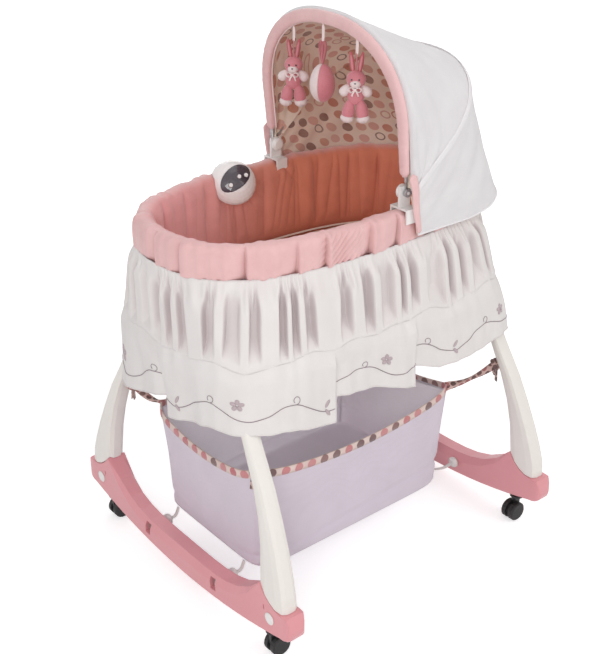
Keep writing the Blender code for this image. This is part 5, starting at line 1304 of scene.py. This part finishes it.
def make_straps():
    """White cloth knots inside the rockers, their shanks, and folded webbing toggles in the pockets."""
    for end, way, side, hand in CORNERS:
        inner, outer = (way * (END_X + half) for half in (-ROCKER_THICKNESS / 2, ROCKER_THICKNESS / 2))
        y = hand * POCKET_REACH
        centre = Vector((inner - way * 0.0090, y, POCKET_Z))
        parts = [blob(centre, (0.0084, 0.0120, 0.0112), nap=0.05)]
        lap = np.linspace(0, 2 * math.pi, 28, endpoint=False)
        for tilt in (0.6, -0.7):
            ring = [tuple(centre + Vector((0.0062 * math.cos(a), 0.0098 * math.sin(a),
                                           0.0088 * math.cos(a) * math.sin(tilt) + 0.004 * math.sin(a))))
                    for a in lap]
            parts.append(tube(ring, 0.0030, 8, hint=(0, 0, 1), closed=True))
        parts.append(tube([(centre.x, y, POCKET_Z), (outer - way * 0.012, y, POCKET_Z)], 0.0036, 10))
        floor_edge = BASKET_CENTRE_X + way * BASKET_FLOOR_HALF[0]
        reach = 0.040 if end == "head" else 0.020
        path = smooth_path([centre, (centre.x - way * reach, y, POCKET_Z - way * 0.001),
                            (floor_edge + way * 0.002, y, STRAP_END_Z)], 12)
        parts.append(band(path, round_section(0.0050, 0.0012, 10, 2.6)))
        piece(f"strap_knot_{end}_{side}", parts, "webbing", "cradle", "strap_webbing", f"basket_strap_{end}_{side}")
        bulge = smooth_path([(outer - way * 0.0105 + way * 0.0018 * math.cos(z * 120), y, POCKET_Z + z)
                             for z in (-0.0115, -0.006, 0.0, 0.006, 0.0115)], 20)
        toggle = band(bulge, round_section(0.0062, 0.0022, 16, 3.0), (1, 0, 0))
        piece(f"strap_toggle_{end}_{side}", [toggle], "toggle", "cradle", "strap_webbing")


# Toys


def hang_ribbon(pivot, drop):
    """A satin ribbon from the binding down to a toy."""
    path = smooth_path([pivot, pivot + Vector((0.0006, 0, -drop * 0.4)), pivot + Vector((0, 0, -drop))], 24)
    half = 0.0042 * (0.45 + 0.55 * smooth_step(np.linspace(0, 1, 24) / 0.3))
    return band(path, sized_sections(10, 2.6, half, np.full(24, 0.0007)), (1, 0, 0))


def strip(points, count, half_width, half_height):
    """A thin ribbon through a few points."""
    return band(smooth_path(points, count), round_section(half_width, half_height, 8, 2.6), (1, 0, 0))


def make_bunny(name):
    """A plush bunny that hangs from the binding and looks out of the hood towards one side."""
    pivot = TOY_PIVOTS[name]
    yaw = Matrix.Rotation(BUNNY_YAW, 3, "Z")

    def below(drop, across=0.0, forward=0.0):
        return pivot + yaw @ Vector((forward, across, -drop))

    def part(kind, grids, finish, slot="plush_pink", node=None):
        replaced = [f"bunny_{name}_{node}"] if node else []
        piece(f"bunny_{name}_{kind}", grids, finish, f"toy_{name}", slot, *replaced)

    head = blob(below(HEAD_DROP), (0.0180, 0.0190, 0.0172), yaw, nap=0.05)
    pale = [blob(below(0.0840, 0.0, -0.0135), (0.0078, 0.0105, 0.0078), yaw, nap=0.05)]
    ears, inner_ears, beads, bow = [], [], [], []
    for hand in (1, -1):
        lean = yaw @ Matrix.Rotation(-hand * math.radians(9), 3, "X")
        ears.append(blob(below(0.0475, hand * 0.0085), (0.0036, 0.0050, 0.0225), lean, nap=0.06, across=20))
        inner_ears.append(blob(below(0.0470, hand * 0.0085, -0.0024), (0.0020, 0.0028, 0.0160), lean, across=16))
        eye = below(0.0755, hand * 0.0072, -0.0166)
        beads.append(blob(eye, (0.0016, 0.0019, 0.0021), yaw, across=12, along=10))
        loop = [below(BOW_DROP, 0, -0.0140), below(0.0905, hand * 0.007, -0.0165),
                below(0.0945, hand * 0.0130, -0.0165), below(0.0995, hand * 0.007, -0.0160),
                below(BOW_DROP, 0, -0.0145)]
        tail = [below(BOW_DROP, 0, -0.0145), below(0.1010, hand * 0.004, -0.0165),
                below(0.1075, hand * 0.0065, -0.0160)]
        bow += [strip(loop, 22, 0.0009, 0.0030), strip(tail, 12, 0.0024, 0.0006)]
    beads.append(blob(below(0.0818, 0.0, -0.0212), (0.0014, 0.0021, 0.0014), yaw, across=12, along=10))
    bow.append(blob(below(BOW_DROP, 0, -0.0155), (0.0026, 0.0030, 0.0032), yaw, across=14, along=10))
    bow.append(hang_ribbon(pivot, 0.030))
    torso = blob(below(TORSO_DROP), (0.0140, 0.0160, 0.0200), yaw, swell=lambda h: 1 - 0.18 * h, nap=0.05)
    part("plush_head", [head], "plush_pink", node="head")
    part("ears", ears, "plush_rose")
    part("inner_ears", inner_ears, "rose_satin")
    part("plush_body", [torso], "plush_pink", "plush_white", "body")
    for side, hand in SIDES.items():
        for kind, finish, drop, reach, size, length, splay in (
            ("arm", "plush_white", 0.099, 0.0205, 0.0096, 0.026, 40),
            ("leg", "plush_pink", 0.137, 0.0130, 0.0122, 0.042, 10),
        ):
            turn = yaw @ Matrix.Rotation(hand * math.radians(splay), 3, "X")
            centre = below(drop, hand * reach, -0.00375)
            limb = blob(centre, (size, size, length / 2), turn, swell=lambda h: 1 - 0.2 * h, nap=0.05, across=22)
            part(f"plush_{kind}_{side}", [limb], finish, node=f"{kind}_{side}")
            if kind == "leg":
                foot = centre + turn @ Vector((0, 0, -length / 2 + size * 0.35))
                pale.append(blob(foot, (size * 1.05, size * 1.08, size * 0.78), turn, nap=0.06, across=22))
    part("plush_pale", pale, "plush_white", "plush_white")
    part("beads", beads, "black")
    part("ribbon", bow, "satin")
    part("loop", [strip([below(0.028), below(0.045), below(0.064)], 12, 0.0018, 0.0008)], "rose_satin")


def make_egg():
    """A plush egg of a pale, a pink and a rose gore, hung on a looped ribbon."""
    pivot = TOY_PIVOTS["middle"]
    centre = pivot + Vector((0, 0, -EGG_DROP - EGG_HALF_HEIGHT))
    across, along = 96, 48
    lap = math.radians(85.4) + np.arange(across) * 2 * math.pi / across
    groove = hump(wrapped(np.arange(across) / across * 3), 0.035)
    rows = []
    for angle in np.linspace(0.03, math.pi - 0.03, along):
        height = math.cos(angle)
        swell_here = (1.0 - 0.08 * height) * (1 - 0.16 * max(0.0, -height) ** 4)
        wide = EGG_HALF_WIDTH * math.sin(angle) ** 0.95 * swell_here * (1 - 0.06 * groove)
        level = np.full(across, EGG_HALF_HEIGHT * height)
        rows.append(np.column_stack([wide * np.cos(lap), wide * np.sin(lap), level]) + np.array(centre))
    rows = np.array(rows)
    step = across // 3
    for k, (name, finish) in enumerate((("pale", "plush_white"), ("pink", "plush_pink"), ("rose", "plush_rose"))):
        columns = [(k * step + j) % across for j in range(step + 1)]
        gore = thicken(mesh_object(f"egg_{name}_gore", [grid(rows[:, columns])]), CLOTH_THICKNESS, -1.0)
        dress(gore, finish, "toy_middle", "plush_pink")
        if name == "pink":
            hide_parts("toy_egg")
    piece("egg_ribbon", [hang_ribbon(pivot, 0.034)], "satin", "toy_middle", "plush_pink")
    top = pivot + Vector((0, 0, -0.0785))
    turns = ((0.0, 0.0), (0.0055, 0.016), (0.0090, 0.036), (0.0040, 0.045), (0.0012, 0.022), (0.0, 0.0))
    loops = [strip([top + Vector((0, hand * off, rise)) for off, rise in turns], 34, 0.0008, 0.0036)
             for hand in (1, -1)]
    piece("egg_loops", loops, "rose_satin", "toy_middle", "plush_pink")


# Carried-over pieces


NODE_LOOKS = {
    "rocker_": "rocker", "leg_": "leg", "rocker_cap_": "white", "caster_body_": "caster", "caster_wheels_": "wheel",
    "base_frame": "tube", "tub_floor_board": "board", "rim_rail": "tube", "canopy_clamp_": "white",
    "canopy_pivot_": "white", "front_bow": "steel", "rear_bow": "steel", "music_unit_housing": "housing",
    "music_unit_panel": "panel", "music_button_": "button",
}


def dress_nodes():
    """Gives each carried-over solid its finish, by the longest name that fits."""
    for name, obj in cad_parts.items():
        fits = [start for start in NODE_LOOKS if name.startswith(start)]
        if not fits:
            continue
        obj.data.materials.clear()
        obj.data.materials.append(look[NODE_LOOKS[max(fits, key=len)]])


make_camera()
make_stage()
make_lights()
dress_nodes()
make_padding()
make_mattress()
make_skirt()
make_vine()
make_hood()
make_binding()
make_basket()
make_ties()
make_straps()
make_bunny("left")
make_bunny("right")
make_egg()
